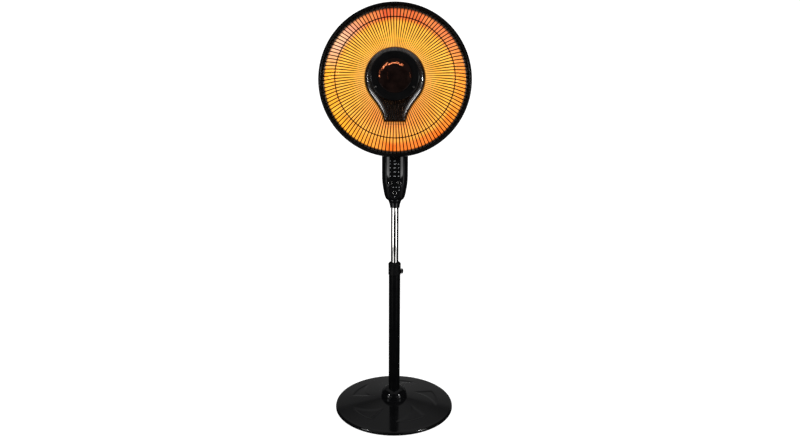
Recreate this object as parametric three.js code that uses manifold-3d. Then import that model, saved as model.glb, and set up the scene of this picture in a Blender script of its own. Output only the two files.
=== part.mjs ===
// Parabolic heater on a telescopic stand: a dished reflector behind a radial wire guard, a keyhole hood that
// shades the quartz lamp, a control box that swings the head, and a weighted round base.
// Millimetres, +Z up, the front looks along -Y, and the origin lies on the floor under the pole.
import * as THREE from 'three';
import { mergeVertices } from 'three/addons/utils/BufferGeometryUtils.js';
import Module from 'manifold-3d';

const wasm = await Module();
wasm.setup();

// ------------------------------------------------------------------ driving sizes
const SEAT = 0.3; // gap between pieces that rest on each other
const ROUND = 20; // sides of a pole-sized turned piece
const SMALL_ROUND = 12; // sides of a small turned piece
const TINY_ROUND = 8; // sides of a screw
const BASE_SIDES = 36;
const DEGREE = Math.PI / 180;

// Base
const BASE_RADIUS = 178;
const BASE_RIM_HEIGHT = 12;
const BASE_SHEET = 2.2;
const BASE_RIM_LIFT = 2;
const BASE_CROWN_HEIGHT = 28;
const DOME_RADIUS = 40;
const DOME_HEIGHT = 30;
const DOME_WALL = 2;
const FOOT_COUNT = 5;
const FOOT_RADIUS = 9;
const FOOT_HEIGHT = 2.4;
const FOOT_CIRCLE = BASE_RADIUS - 27;
const PAN_THICKNESS = 1.6;
const WEIGHT_INNER = 56;
const WEIGHT_OUTER = 138;
const WEIGHT_HEIGHT = 8;
const SOCKET_RADIUS = 35;
const SOCKET_FLANGE = 4;
const SOCKET_HEIGHT = 20;
const SOCKET_WALL = 3.4;
const SOCKET_BOLTS = 3;
const SOCKET_BOLT_CIRCLE = 27;
const SOCKET_BOLT_RADIUS = 2.5;

// Pole
const OUTER_POLE_RADIUS = 17;
const OUTER_POLE_WALL = 1;
const LOCK_HEIGHT = 425;
const OUTER_POLE_TOP = LOCK_HEIGHT + 22;
const INNER_POLE_RADIUS = 11;
const INNER_POLE_WALL = 1;
const INNER_POLE_BOTTOM = 206;
const INNER_POLE_TOP = 700;
const POLE_PLUG_LENGTH = 11;
const COLLAR_LENGTH = 37;
const COLLAR_WALL = 1.2;
const COLLAR_LIP = 5;
const BUSH_LENGTH = 42;
const LOCK_SCREW_RADIUS = 3;
const LOCK_BOSS_RADIUS = 7.4;
const LOCK_BOSS_REACH = 1.4;
const LOCK_KNOB_RADIUS = 8;
const LOCK_KNOB_LENGTH = 6;

// Control box
const BOX_BOTTOM = 638;
const BOX_HEIGHT = 147;
const BOX_WIDTH = 74.6;
const BOX_DEPTH = 64;
const BOX_WALL = 3.2;
const BOX_SQUARENESS = 3.2; // exponent of the rounded plan
const BOX_SIDES = 20;
const FERRULE_LENGTH = 22.7;
const FERRULE_RADIUS = 19.4;
const PANEL_THICKNESS = 1.5;
const PANEL_HALF_WIDTH = 22.5;
const PANEL_TOP = 768;
const PANEL_BOTTOM = 645;
const BUTTON_RADIUS = 4.2;
const BUTTON_FLANGE = 1.2;
const BUTTON_PROUD = 1.4;
const BUTTON_TRAVEL = 1.2;
const BUTTON_SPACING = 26;
const UPPER_BUTTON_HEIGHT = 689.7;
const LOWER_BUTTON_HEIGHT = 661.3;
const BOARD_WIDTH = 40;
const BOARD_TONGUE = 14; // half width between the lower screw bosses
const BOARD_LOW = 654;
const BOARD_HIGH = 732;
const BOARD_THICKNESS = 1.6;
const BOARD_POST_RADIUS = 2.4;
const CLAMP_WIDTH = 28;
const CLAMP_DEPTH = 28;
const CLAMP_LOW = 646;
const CLAMP_HIGH = 698;
const BOX_SCREW_RADIUS = 1.8;
const BOX_BOSS_RADIUS = 3.8;
const GLAND_HEIGHT = 716;
const GLAND_BORE = 3.6;

// Swing drive
const MOTOR_PLATE_HEIGHT = 737;
const MOTOR_PLATE_THICKNESS = 2;
const MOTOR_RADIUS = 22;
const MOTOR_HEIGHT = 13;
const MOTOR_SETBACK = 3;
const CRANK_DISTANCE = 14; // crank axis behind the swing axis
const CRANK_THROW = 8.5;
const CRANK_RADIUS = 11;
const CRANK_THICKNESS = 3.4;
const CRANK_PIN_RADIUS = 2;
const SLOT_PLAY = 1.3; // side play of the crank pin in the lever's slot
const LEVER_THICKNESS = 4;
const LEVER_REACH = 27.6;
const LEVER_WIDTH = 15;
const SWING_SHAFT_RADIUS = 7;
const TURRET_RADIUS = 27;
const TURRET_HEIGHT = 8;
const SWING_WASHER = 2.6;

// Head
const HEAD_FORWARD = 66; // ring plane in front of the pole axis
const HEAD_HEIGHT = 969;
const HEAD_TILT = 7.5; // degrees, face up
const HEAD_RADIUS = 205;
const HEAD_SIDES = 40;
const RIM_WALL = 2.3;
const RIM_REACH = 12.4; // how far each rim stands before and behind the ring plane
const RIM_INNER = HEAD_RADIUS - 8.8;
const DISH_RADIUS = HEAD_RADIUS - 13;
const DISH_DEPTH = 70;
const DISH_SHEET = 1.2;
const DISH_STEPS = 4;
const FLANGE_LEVEL = 2.4;
const COVER_WALL = 2;
const COVER_DEPTH = 86;
const VENT_COUNT = 14;
const VENT_LENGTH = 30;
const VENT_WIDTH = 8;
const VENT_CIRCLE = 102;

// Guard
const WIRE_COUNT = 120;
const WIRE_SIZE = 2.3;
const GUARD_RADIUS = HEAD_RADIUS - 6;
const MID_RING_RADIUS = 157.4;
const MID_RING_REACH = 35.6;
const HUB_RING_RADIUS = 62;
const HUB_RING_REACH = 53.2;

// Hood and lamp
const HOOD_RADIUS = 81.6;
const HOOD_NECK_DROP = 116;
const HOOD_NECK_HALF = 30.6;
const HOOD_REACH = 42;
const HOOD_DEPTH = 32;
const HOOD_WALL = 2;
const HOOD_ROUNDING = 9;
const SIGHT_RADIUS = 44;
const HUB_PLATE_RADIUS = 64;
const HUB_PLATE_THICKNESS = 2.6;
const HUB_SCREW_X = 49;
const HUB_SCREW_Z = -29;
const LAMP_RING_RADIUS = 34;
const LAMP_TUBE_RADIUS = 5;
const LAMP_LEG_X = 10;
const LAMP_REACH = 24;
const LAMP_BOTTOM = -98;
const CAP_WIDTH = 13;
const CAP_HEIGHT = 18;

// Tilt hinge, in the head's own frame
const PIVOT_BACK = 100;
const PIVOT_DROP = 100;
const KNUCKLE_RADIUS = 13;
const KNUCKLE_HALF = 12.2;
const CHEEK_THICKNESS = 5;
const TILT_PIN_RADIUS = 4;
const TILT_KNOB_RADIUS = 17;
const TILT_KNOB_LENGTH = 14;

// ------------------------------------------------------------------ finishes
const FINISHES = {
  black_gloss: { color: 0x0b0b0c, roughness: 0.18, metalness: 0.0 },
  black_satin: { color: 0x111112, roughness: 0.45, metalness: 0.0 },
  black_paint: { color: 0x0d0d0e, roughness: 0.32, metalness: 0.3 },
  chrome: { color: 0xd8d8d6, roughness: 0.08, metalness: 1.0 },
  steel: { color: 0x9a9a98, roughness: 0.35, metalness: 1.0 },
  gold_mirror: { color: 0xd79a3c, roughness: 0.16, metalness: 1.0 },
  guard_wire: { color: 0x3a2415, roughness: 0.3, metalness: 0.8 },
  glow: { color: 0xff8a3c, roughness: 0.3, metalness: 0.0 },
  smoked: { color: 0x120c0c, roughness: 0.06, metalness: 0.0 },
  ceramic: { color: 0xe8e2d6, roughness: 0.6, metalness: 0.0 },
  nylon: { color: 0xd9d6cc, roughness: 0.5, metalness: 0.0 },
  rubber: { color: 0x1b1b1b, roughness: 0.85, metalness: 0.0 },
  iron: { color: 0x3b3a38, roughness: 0.8, metalness: 0.6 },
  board: { color: 0x1d4a2b, roughness: 0.5, metalness: 0.0 },
  marks: { color: 0xc9ccd0, roughness: 0.4, metalness: 0.0 },
};

// ------------------------------------------------------------------ solids
function signedVolume(positions, index) {
  const a = new THREE.Vector3();
  const b = new THREE.Vector3();
  const c = new THREE.Vector3();
  let total = 0;
  for (let i = 0; i < index.length; i += 3) {
    a.fromArray(positions, 3 * index[i]);
    b.fromArray(positions, 3 * index[i + 1]);
    c.fromArray(positions, 3 * index[i + 2]);
    total += a.dot(b.cross(c)) / 6;
  }
  return total;
}

// One closed body: shared corners, no empty triangles, faces pointing out.
function weld(geometry) {
  const bare = geometry.clone();
  bare.deleteAttribute('normal');
  bare.deleteAttribute('uv');
  const merged = mergeVertices(bare, 1e-4);
  const source = merged.index.array;
  let index = [];
  for (let i = 0; i < source.length; i += 3) {
    const [a, b, c] = [source[i], source[i + 1], source[i + 2]];
    if (a !== b && b !== c && c !== a) index.push(a, b, c);
  }
  if (signedVolume(merged.attributes.position.array, index) < 0) index = index.reverse();
  merged.setIndex(index);
  return merged;
}

function toSolid(geometry) {
  const welded = weld(geometry);
  const mesh = new wasm.Mesh({
    numProp: 3,
    vertProperties: new Float32Array(welded.attributes.position.array),
    triVerts: new Uint32Array(welded.index.array),
  });
  return new wasm.Manifold(mesh);
}

function fromSolid(solid) {
  const mesh = solid.getMesh();
  const geometry = new THREE.BufferGeometry();
  geometry.setAttribute('position', new THREE.BufferAttribute(new Float32Array(mesh.vertProperties), 3));
  geometry.setIndex(new THREE.BufferAttribute(new Uint32Array(mesh.triVerts), 1));
  return geometry;
}

function cut(geometry, ...tools) {
  return fromSolid(tools.reduce((solid, tool) => solid.subtract(toSolid(tool)), toSolid(geometry)));
}

function join(geometry, ...others) {
  return fromSolid(others.reduce((solid, other) => solid.add(toSolid(other)), toSolid(geometry)));
}

function common(geometry, other) {
  return fromSolid(toSolid(geometry).intersect(toSolid(other)));
}

// Box between two corners.
function block(low, high) {
  const size = high.map((value, axis) => value - low[axis]);
  const middle = high.map((value, axis) => (value + low[axis]) / 2);
  return new THREE.BoxGeometry(...size).translate(...middle);
}

// Solid turned about +Z from [radius, height] points.
function turned(profile, sides = ROUND) {
  const points = profile.map(([radius, height]) => new THREE.Vector2(radius, height));
  return new THREE.LatheGeometry(points, sides).rotateX(Math.PI / 2);
}

function ring(inner, outer, low, high, sides = ROUND) {
  return turned([[inner, low], [outer, low], [outer, high], [inner, high], [inner, low]], sides);
}

function disc(radius, low, high, sides = ROUND) {
  return turned([[0, low], [radius, low], [radius, high], [0, high]], sides);
}

// Turns a piece built about +Z so that its height runs along -Y, +X or +Y.
const facing = (geometry) => geometry.rotateX(Math.PI / 2);
const sideways = (geometry) => geometry.rotateY(Math.PI / 2);
const backward = (geometry) => geometry.rotateX(-Math.PI / 2);

// Tube from one point to another.
function strut(from, to, startRadius, endRadius, sides = ROUND) {
  const along = to.clone().sub(from);
  const shape = new THREE.CylinderGeometry(endRadius, startRadius, along.length(), sides);
  shape.applyQuaternion(new THREE.Quaternion().setFromUnitVectors(
    new THREE.Vector3(0, 1, 0),
    along.clone().normalize(),
  ));
  return shape.translate(...from.clone().add(to).multiplyScalar(0.5).toArray());
}

// Outline with lobes for a hand knob.
function lobedOutline(radius, lobes, depth) {
  const outline = new THREE.Shape();
  const steps = lobes * 3;
  for (let i = 0; i < steps; i += 1) {
    const turn = (i / steps) * 2 * Math.PI;
    const reach = radius - depth * (0.5 - 0.5 * Math.cos(lobes * turn));
    const [x, y] = [reach * Math.cos(turn), reach * Math.sin(turn)];
    if (i === 0) outline.moveTo(x, y);
    else outline.lineTo(x, y);
  }
  outline.closePath();
  return outline;
}

function knob(radius, length, lobes, depth, rounding) {
  return new THREE.ExtrudeGeometry(lobedOutline(radius, lobes, depth), {
    depth: length - 2 * rounding,
    bevelThickness: rounding,
    bevelSize: rounding,
    bevelOffset: -rounding,
    bevelSegments: 1,
  }).translate(0, 0, rounding);
}

// Closed skin over a stack of rings that all have the same number of points.
function loft(rings) {
  const sides = rings[0].length;
  const positions = rings.flat().flatMap((point) => point.toArray());
  const index = [];
  for (let level = 0; level + 1 < rings.length; level += 1) {
    for (let side = 0; side < sides; side += 1) {
      const a = level * sides + side;
      const b = level * sides + ((side + 1) % sides);
      index.push(a, b, b + sides, a, b + sides, a + sides);
    }
  }
  const top = (rings.length - 1) * sides;
  for (let side = 1; side + 1 < sides; side += 1) {
    index.push(0, side + 1, side);
    index.push(top, top + side, top + side + 1);
  }
  const geometry = new THREE.BufferGeometry();
  geometry.setAttribute('position', new THREE.Float32BufferAttribute(positions, 3));
  geometry.setIndex(index);
  return geometry;
}

function addPiece(group, name, geometry, finish) {
  const closed = weld(geometry);
  closed.computeVertexNormals();
  const mesh = new THREE.Mesh(closed, new THREE.MeshStandardMaterial(FINISHES[finish]));
  mesh.name = name;
  group.add(mesh);
}

// ------------------------------------------------------------------ base
const PAN_LOW = FOOT_HEIGHT + SEAT;
const SOCKET_LOW = BASE_CROWN_HEIGHT + SEAT;
const POLE_FLOOR = SOCKET_LOW + SOCKET_FLANGE;

function plateTop(radius) {
  const slope = (radius - DOME_RADIUS) / (BASE_RADIUS - 7 - DOME_RADIUS);
  return BASE_CROWN_HEIGHT - (BASE_CROWN_HEIGHT - BASE_RIM_HEIGHT) * Math.min(Math.max(slope, 0), 1);
}

function socketBoltPlaces() {
  return Array.from({ length: SOCKET_BOLTS }, (_, i) => {
    const turn = Math.PI / 2 + (i / SOCKET_BOLTS) * 2 * Math.PI;
    return [SOCKET_BOLT_CIRCLE * Math.cos(turn), SOCKET_BOLT_CIRCLE * Math.sin(turn)];
  });
}

function basePlate() {
  const hole = 18;
  const [r, sheet, top] = [BASE_RADIUS, BASE_SHEET, BASE_RIM_HEIGHT];
  const profile = [
    [hole, plateTop(hole)],
    [DOME_RADIUS, plateTop(DOME_RADIUS)],
    [r - 7, top],
    [r - 1.7, top - 1.9],
    [r, top - 6],
    [r, BASE_RIM_LIFT],
    [r - sheet, BASE_RIM_LIFT],
    [r - sheet, top - 6],
    [r - 7, top - sheet],
    [DOME_RADIUS, plateTop(DOME_RADIUS) - sheet],
    [hole, plateTop(hole) - sheet],
    [hole, plateTop(hole)],
  ];
  const bores = socketBoltPlaces().map(([x, y]) =>
    disc(SOCKET_BOLT_RADIUS + SEAT, 0, BASE_CROWN_HEIGHT + 5, TINY_ROUND).translate(x, y, 0));
  return cut(turned(profile, BASE_SIDES), ...bores);
}

function poleSocket() {
  const bore = OUTER_POLE_RADIUS + SEAT;
  const top = POLE_FLOOR + SOCKET_HEIGHT;
  const profile = [
    [bore - 4, SOCKET_LOW],
    [SOCKET_RADIUS, SOCKET_LOW],
    [SOCKET_RADIUS, POLE_FLOOR],
    [bore + SOCKET_WALL, POLE_FLOOR],
    [bore + SOCKET_WALL, top],
    [bore, top],
    [bore, POLE_FLOOR],
    [bore - 4, POLE_FLOOR],
    [bore - 4, SOCKET_LOW],
  ];
  const bores = socketBoltPlaces().map(([x, y]) =>
    disc(SOCKET_BOLT_RADIUS + SEAT, 0, top, TINY_ROUND).translate(x, y, 0));
  return cut(turned(profile), ...bores);
}

function socketBolt() {
  const seat = POLE_FLOOR + SEAT;
  return turned([
    [0, BASE_CROWN_HEIGHT - 9],
    [SOCKET_BOLT_RADIUS, BASE_CROWN_HEIGHT - 9],
    [SOCKET_BOLT_RADIUS, seat],
    [4.4, seat],
    [4.4, seat + 3.4],
    [0, seat + 3.4],
  ], TINY_ROUND);
}

function domeCover() {
  const low = BASE_CROWN_HEIGHT + SEAT;
  const neck = OUTER_POLE_RADIUS + SEAT;
  const [r, h, wall] = [DOME_RADIUS, DOME_HEIGHT, DOME_WALL];
  return turned([
    [r, low],
    [r - 1.4, low + 0.36 * h],
    [r - 9, low + 0.75 * h],
    [neck + 4, low + 0.97 * h],
    [neck, low + h],
    [neck, low + h - 1.6 * wall],
    [neck + 6, low + 0.92 * h - 1.4 * wall],
    [r - 10.4, low + 0.73 * h - wall],
    [r - 1.4 - wall, low + 0.3 * h],
    [r - wall, low],
    [r, low],
  ], ROUND);
}

function buildBase() {
  const group = new THREE.Group();
  addPiece(group, 'base_plate', basePlate(), 'black_gloss');
  const panTop = PAN_LOW + PAN_THICKNESS;
  const panRadius = BASE_RADIUS - BASE_SHEET - SEAT;
  addPiece(group, 'base_pan', ring(14, panRadius, PAN_LOW, panTop, BASE_SIDES), 'black_satin');
  const weightLow = panTop + SEAT;
  addPiece(group, 'base_weight', ring(WEIGHT_INNER, WEIGHT_OUTER, weightLow, weightLow + WEIGHT_HEIGHT), 'iron');
  for (let i = 0; i < FOOT_COUNT; i += 1) {
    const turn = -Math.PI / 2 + (i / FOOT_COUNT) * 2 * Math.PI;
    const foot = disc(FOOT_RADIUS, 0, FOOT_HEIGHT, SMALL_ROUND);
    foot.translate(FOOT_CIRCLE * Math.cos(turn), FOOT_CIRCLE * Math.sin(turn), 0);
    addPiece(group, `foot_${i + 1}`, foot, 'rubber');
  }
  addPiece(group, 'pole_socket', poleSocket(), 'steel');
  socketBoltPlaces().forEach(([x, y], i) => {
    addPiece(group, `socket_bolt_${i + 1}`, socketBolt().translate(x, y, 0), 'steel');
  });
  addPiece(group, 'dome_cover', domeCover(), 'black_gloss');
  return group;
}

// ------------------------------------------------------------------ fixed pole and its lock
const COLLAR_TOP = OUTER_POLE_TOP + SEAT + COLLAR_LIP;
const COLLAR_OUTER = OUTER_POLE_RADIUS + SEAT + COLLAR_WALL;
const LOCK_FACE = COLLAR_OUTER + LOCK_BOSS_REACH;

// Hole along +X at the lock's height.
function lockBore(radius) {
  return sideways(disc(radius, 0, COLLAR_OUTER + 10, SMALL_ROUND)).translate(0, 0, LOCK_HEIGHT);
}

function outerPole() {
  const inner = OUTER_POLE_RADIUS - OUTER_POLE_WALL;
  const tube = ring(inner, OUTER_POLE_RADIUS, POLE_FLOOR + SEAT, OUTER_POLE_TOP);
  return cut(tube, lockBore(LOCK_SCREW_RADIUS + SEAT));
}

function poleCollar() {
  const bore = OUTER_POLE_RADIUS + SEAT;
  const lip = INNER_POLE_RADIUS + SEAT;
  const low = COLLAR_TOP - COLLAR_LENGTH;
  const sleeve = turned([
    [bore, low],
    [COLLAR_OUTER, low],
    [COLLAR_OUTER, COLLAR_TOP - 4.2],
    [COLLAR_OUTER - 1.4, COLLAR_TOP - 1.5],
    [COLLAR_OUTER - 4, COLLAR_TOP],
    [lip, COLLAR_TOP],
    [lip, OUTER_POLE_TOP + SEAT],
    [bore, OUTER_POLE_TOP + SEAT],
    [bore, low],
  ]);
  const boss = sideways(disc(LOCK_BOSS_RADIUS, bore + 0.4, LOCK_FACE, SMALL_ROUND)).translate(0, 0, LOCK_HEIGHT);
  return cut(join(sleeve, boss), lockBore(LOCK_SCREW_RADIUS + SEAT));
}

function buildColumn() {
  const group = new THREE.Group();
  addPiece(group, 'outer_pole', outerPole(), 'black_paint');
  addPiece(group, 'pole_collar', poleCollar(), 'black_satin');
  const bushOuter = OUTER_POLE_RADIUS - OUTER_POLE_WALL - SEAT;
  const bush = ring(INNER_POLE_RADIUS + SEAT, bushOuter, OUTER_POLE_TOP - BUSH_LENGTH, OUTER_POLE_TOP);
  addPiece(group, 'collar_bush', cut(bush, lockBore(LOCK_SCREW_RADIUS + SEAT)), 'nylon');
  const knobStart = LOCK_FACE + SEAT;
  const screwEnd = knobStart + LOCK_KNOB_LENGTH - 2.5;
  const screw = sideways(disc(LOCK_SCREW_RADIUS, INNER_POLE_RADIUS + SEAT, screwEnd, SMALL_ROUND));
  addPiece(group, 'lock_screw', screw.translate(0, 0, LOCK_HEIGHT), 'steel');
  const grip = knob(LOCK_KNOB_RADIUS, LOCK_KNOB_LENGTH, 8, 0.9, 1.6);
  const socket = disc(LOCK_SCREW_RADIUS + SEAT, -1, screwEnd - knobStart + SEAT, SMALL_ROUND);
  const lockKnob = sideways(cut(grip, socket)).translate(knobStart, 0, LOCK_HEIGHT);
  addPiece(group, 'lock_knob', lockKnob, 'black_satin');
  return group;
}

// ------------------------------------------------------------------ control box
const BOX_TOP = BOX_BOTTOM + BOX_HEIGHT;
const PLAN_RATIO = BOX_DEPTH / BOX_WIDTH;
// Half width of the box at heights above its bottom.
const BOX_OUTLINE = [
  [0, 21.4], [5, 26.4], [28, 32.6], [60, BOX_WIDTH / 2],
  [BOX_HEIGHT - 4, BOX_WIDTH / 2], [BOX_HEIGHT, BOX_WIDTH / 2 - 3.4],
];

function boxHalfWidth(height) {
  const above = height - BOX_BOTTOM;
  const next = BOX_OUTLINE.findIndex(([level]) => level >= above);
  if (next <= 0) return BOX_OUTLINE[0][1];
  const [[lowLevel, lowHalf], [highLevel, highHalf]] = [BOX_OUTLINE[next - 1], BOX_OUTLINE[next]];
  return lowHalf + ((above - lowLevel) / (highLevel - lowLevel)) * (highHalf - lowHalf);
}

function planRing(half, height) {
  const power = 2 / BOX_SQUARENESS;
  return Array.from({ length: BOX_SIDES }, (_, i) => {
    const turn = (i / BOX_SIDES) * 2 * Math.PI;
    const [c, s] = [Math.cos(turn), Math.sin(turn)];
    return new THREE.Vector3(
      half * Math.sign(c) * Math.abs(c) ** power,
      half * PLAN_RATIO * Math.sign(s) * Math.abs(s) ** power,
      height,
    );
  });
}

// The box's outer form, drawn in by an inset and clipped between two heights.
function boxForm(inset, low = BOX_BOTTOM, high = BOX_TOP) {
  const levels = BOX_OUTLINE.map(([above]) => BOX_BOTTOM + above).filter((z) => z > low + 0.5 && z < high - 0.5);
  return loft([low, ...levels, high].map((z) => planRing(boxHalfWidth(z) - inset, z)));
}

// Depth of the front or back surface at a place on the box.
function boxFace(x, height, inset = 0) {
  const half = boxHalfWidth(height) - inset;
  return half * PLAN_RATIO * (1 - (Math.abs(x) / half) ** BOX_SQUARENESS) ** (1 / BOX_SQUARENESS);
}

const BUTTONS = [
  ['button_power', -BUTTON_SPACING / 2, UPPER_BUTTON_HEIGHT],
  ['button_heat', BUTTON_SPACING / 2, UPPER_BUTTON_HEIGHT],
  ['button_swing', 0, LOWER_BUTTON_HEIGHT],
];
const BOX_SCREWS = [[-25, 773], [25, 773], [-20.4, 655], [20.4, 655]];
const BOARD_POSTS = [[-16, 674], [16, 674], [-16, 724], [16, 724]];

// The flange of the button nearest to the board sets where the board lies.
function buttonFlangeFront([, x, height]) {
  return boxFace(Math.abs(x) + BUTTON_RADIUS, height - BUTTON_RADIUS, BOX_WALL) - SEAT - 0.9;
}
const BOARD_FRONT = Math.min(...BUTTONS.map(buttonFlangeFront)) - BUTTON_FLANGE - BUTTON_TRAVEL - SEAT;
const BOARD_BACK = BOARD_FRONT - BOARD_THICKNESS;

function panelOutline(grow) {
  const half = PANEL_HALF_WIDTH + grow;
  const outline = new THREE.Shape();
  outline.moveTo(-half, PANEL_TOP + grow);
  outline.lineTo(-half, 700);
  outline.bezierCurveTo(-half, 682, -17 - grow, PANEL_BOTTOM + 14 - grow, -7, PANEL_BOTTOM + 2 - grow);
  outline.quadraticCurveTo(0, PANEL_BOTTOM - 3 - grow, 7, PANEL_BOTTOM + 2 - grow);
  outline.bezierCurveTo(17 + grow, PANEL_BOTTOM + 14 - grow, half, 682, half, 700);
  outline.lineTo(half, PANEL_TOP + grow);
  outline.closePath();
  return outline;
}

// Prism of the panel's outline through the front half of the box.
function panelPrism(grow) {
  const prism = new THREE.ExtrudeGeometry(panelOutline(grow), { depth: 60, bevelEnabled: false, curveSegments: 8 });
  return facing(prism);
}

function frontBore(x, height, radius) {
  return facing(disc(radius, 0, BOX_DEPTH, SMALL_ROUND)).translate(x, 0, height);
}

function controlPanel() {
  const skin = cut(boxForm(0), boxForm(PANEL_THICKNESS));
  const bores = BUTTONS.map(([, x, height]) => frontBore(x, height, BUTTON_RADIUS + SEAT));
  return cut(common(skin, panelPrism(0)), ...bores);
}

function boxShell() {
  const bottomBore = disc(INNER_POLE_RADIUS + SEAT, BOX_BOTTOM - 5, BOX_BOTTOM + 10);
  const topBore = disc(SWING_SHAFT_RADIUS + SEAT, BOX_TOP - 10, BOX_TOP + 5);
  const hollow = boxForm(BOX_WALL, BOX_BOTTOM + BOX_WALL, BOX_TOP - BOX_WALL);
  return cut(boxForm(0), hollow, bottomBore, topBore);
}

function screwBoss(x, height, direction) {
  const reach = boxFace(x, height, 0.6);
  const boss = disc(BOX_BOSS_RADIUS, 0, reach, TINY_ROUND);
  return (direction < 0 ? facing(boss) : backward(boss)).translate(x, 0, height);
}

function screwBore(x, height, radius) {
  return facing(disc(radius, -BOX_DEPTH, 12, TINY_ROUND)).translate(x, 0, height);
}

function housingFront() {
  const size = BOX_WIDTH;
  const half = block([-size, -size, 0], [size, -SEAT / 2, 2 * BOX_TOP]);
  const posts = BOARD_POSTS.map(([x, height]) => {
    const end = boxFace(x, height, BOX_WALL - 0.6);
    return facing(disc(BOARD_POST_RADIUS, BOARD_FRONT + SEAT, end, TINY_ROUND)).translate(x, 0, height);
  });
  const bosses = BOX_SCREWS.map(([x, height]) => screwBoss(x, height, -1));
  const body = common(join(boxShell(), ...bosses, ...posts), half);
  const recess = cut(panelPrism(SEAT), boxForm(PANEL_THICKNESS + SEAT));
  const bores = BUTTONS.map(([, x, height]) => frontBore(x, height, BUTTON_RADIUS + SEAT));
  const screws = BOX_SCREWS.map(([x, height]) => screwBore(x, height, BOX_SCREW_RADIUS + SEAT));
  return cut(body, recess, ...bores, ...screws);
}

function housingRear() {
  const size = BOX_WIDTH;
  const half = block([-size, SEAT / 2, 0], [size, size, 2 * BOX_TOP]);
  const bosses = BOX_SCREWS.map(([x, height]) => screwBoss(x, height, 1));
  const body = common(join(boxShell(), ...bosses), half);
  const screws = BOX_SCREWS.map(([x, height]) => screwBore(x, height, BOX_SCREW_RADIUS + SEAT));
  const heads = BOX_SCREWS.map(([x, height]) =>
    backward(disc(3.4 + SEAT, screwSeat(x, height), BOX_DEPTH, TINY_ROUND)).translate(x, 0, height));
  const gland = backward(disc(GLAND_BORE + 1.6 + SEAT, 0, BOX_DEPTH, SMALL_ROUND)).translate(0, 0, GLAND_HEIGHT);
  const vents = [0, 1, 2, 3].map((i) => {
    const z = 744 + 7 * i;
    return block([-15, boxFace(0, z, BOX_WALL + 3), z], [15, BOX_DEPTH, z + 3]);
  });
  return cut(body, ...screws, ...heads, gland, ...vents);
}

function screwSeat(x, height) {
  return Math.min(boxFace(Math.abs(x) + 3.4, height), boxFace(Math.abs(x) + 3.4, height - 5)) - 5;
}

function boxScrew([x, height]) {
  const seat = screwSeat(x, height) + SEAT;
  return backward(turned([
    [0, -9],
    [BOX_SCREW_RADIUS, -9],
    [BOX_SCREW_RADIUS, seat],
    [3.4, seat],
    [3.4, seat + 1.4],
    [0, seat + 2.2],
  ], TINY_ROUND)).translate(x, 0, height);
}

function button(entry) {
  const [, x, height] = entry;
  const flange = buttonFlangeFront(entry);
  const front = boxFace(x, height) + BUTTON_PROUD;
  return facing(turned([
    [0, flange - BUTTON_FLANGE],
    [BUTTON_RADIUS + 1.2, flange - BUTTON_FLANGE],
    [BUTTON_RADIUS + 1.2, flange],
    [BUTTON_RADIUS, flange],
    [BUTTON_RADIUS, front - 0.8],
    [BUTTON_RADIUS - 0.9, front],
    [0, front],
  ], SMALL_ROUND)).translate(x, 0, height);
}

function ferrule() {
  const top = BOX_BOTTOM - SEAT;
  const low = top - FERRULE_LENGTH;
  const bore = INNER_POLE_RADIUS + SEAT;
  return turned([
    [bore, low],
    [FERRULE_RADIUS - 5.6, low],
    [FERRULE_RADIUS - 4.6, low + 8],
    [FERRULE_RADIUS - 2.6, low + 16],
    [FERRULE_RADIUS, low + FERRULE_LENGTH - 1.4],
    [FERRULE_RADIUS, top],
    [bore, top],
    [bore, low],
  ]);
}

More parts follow.
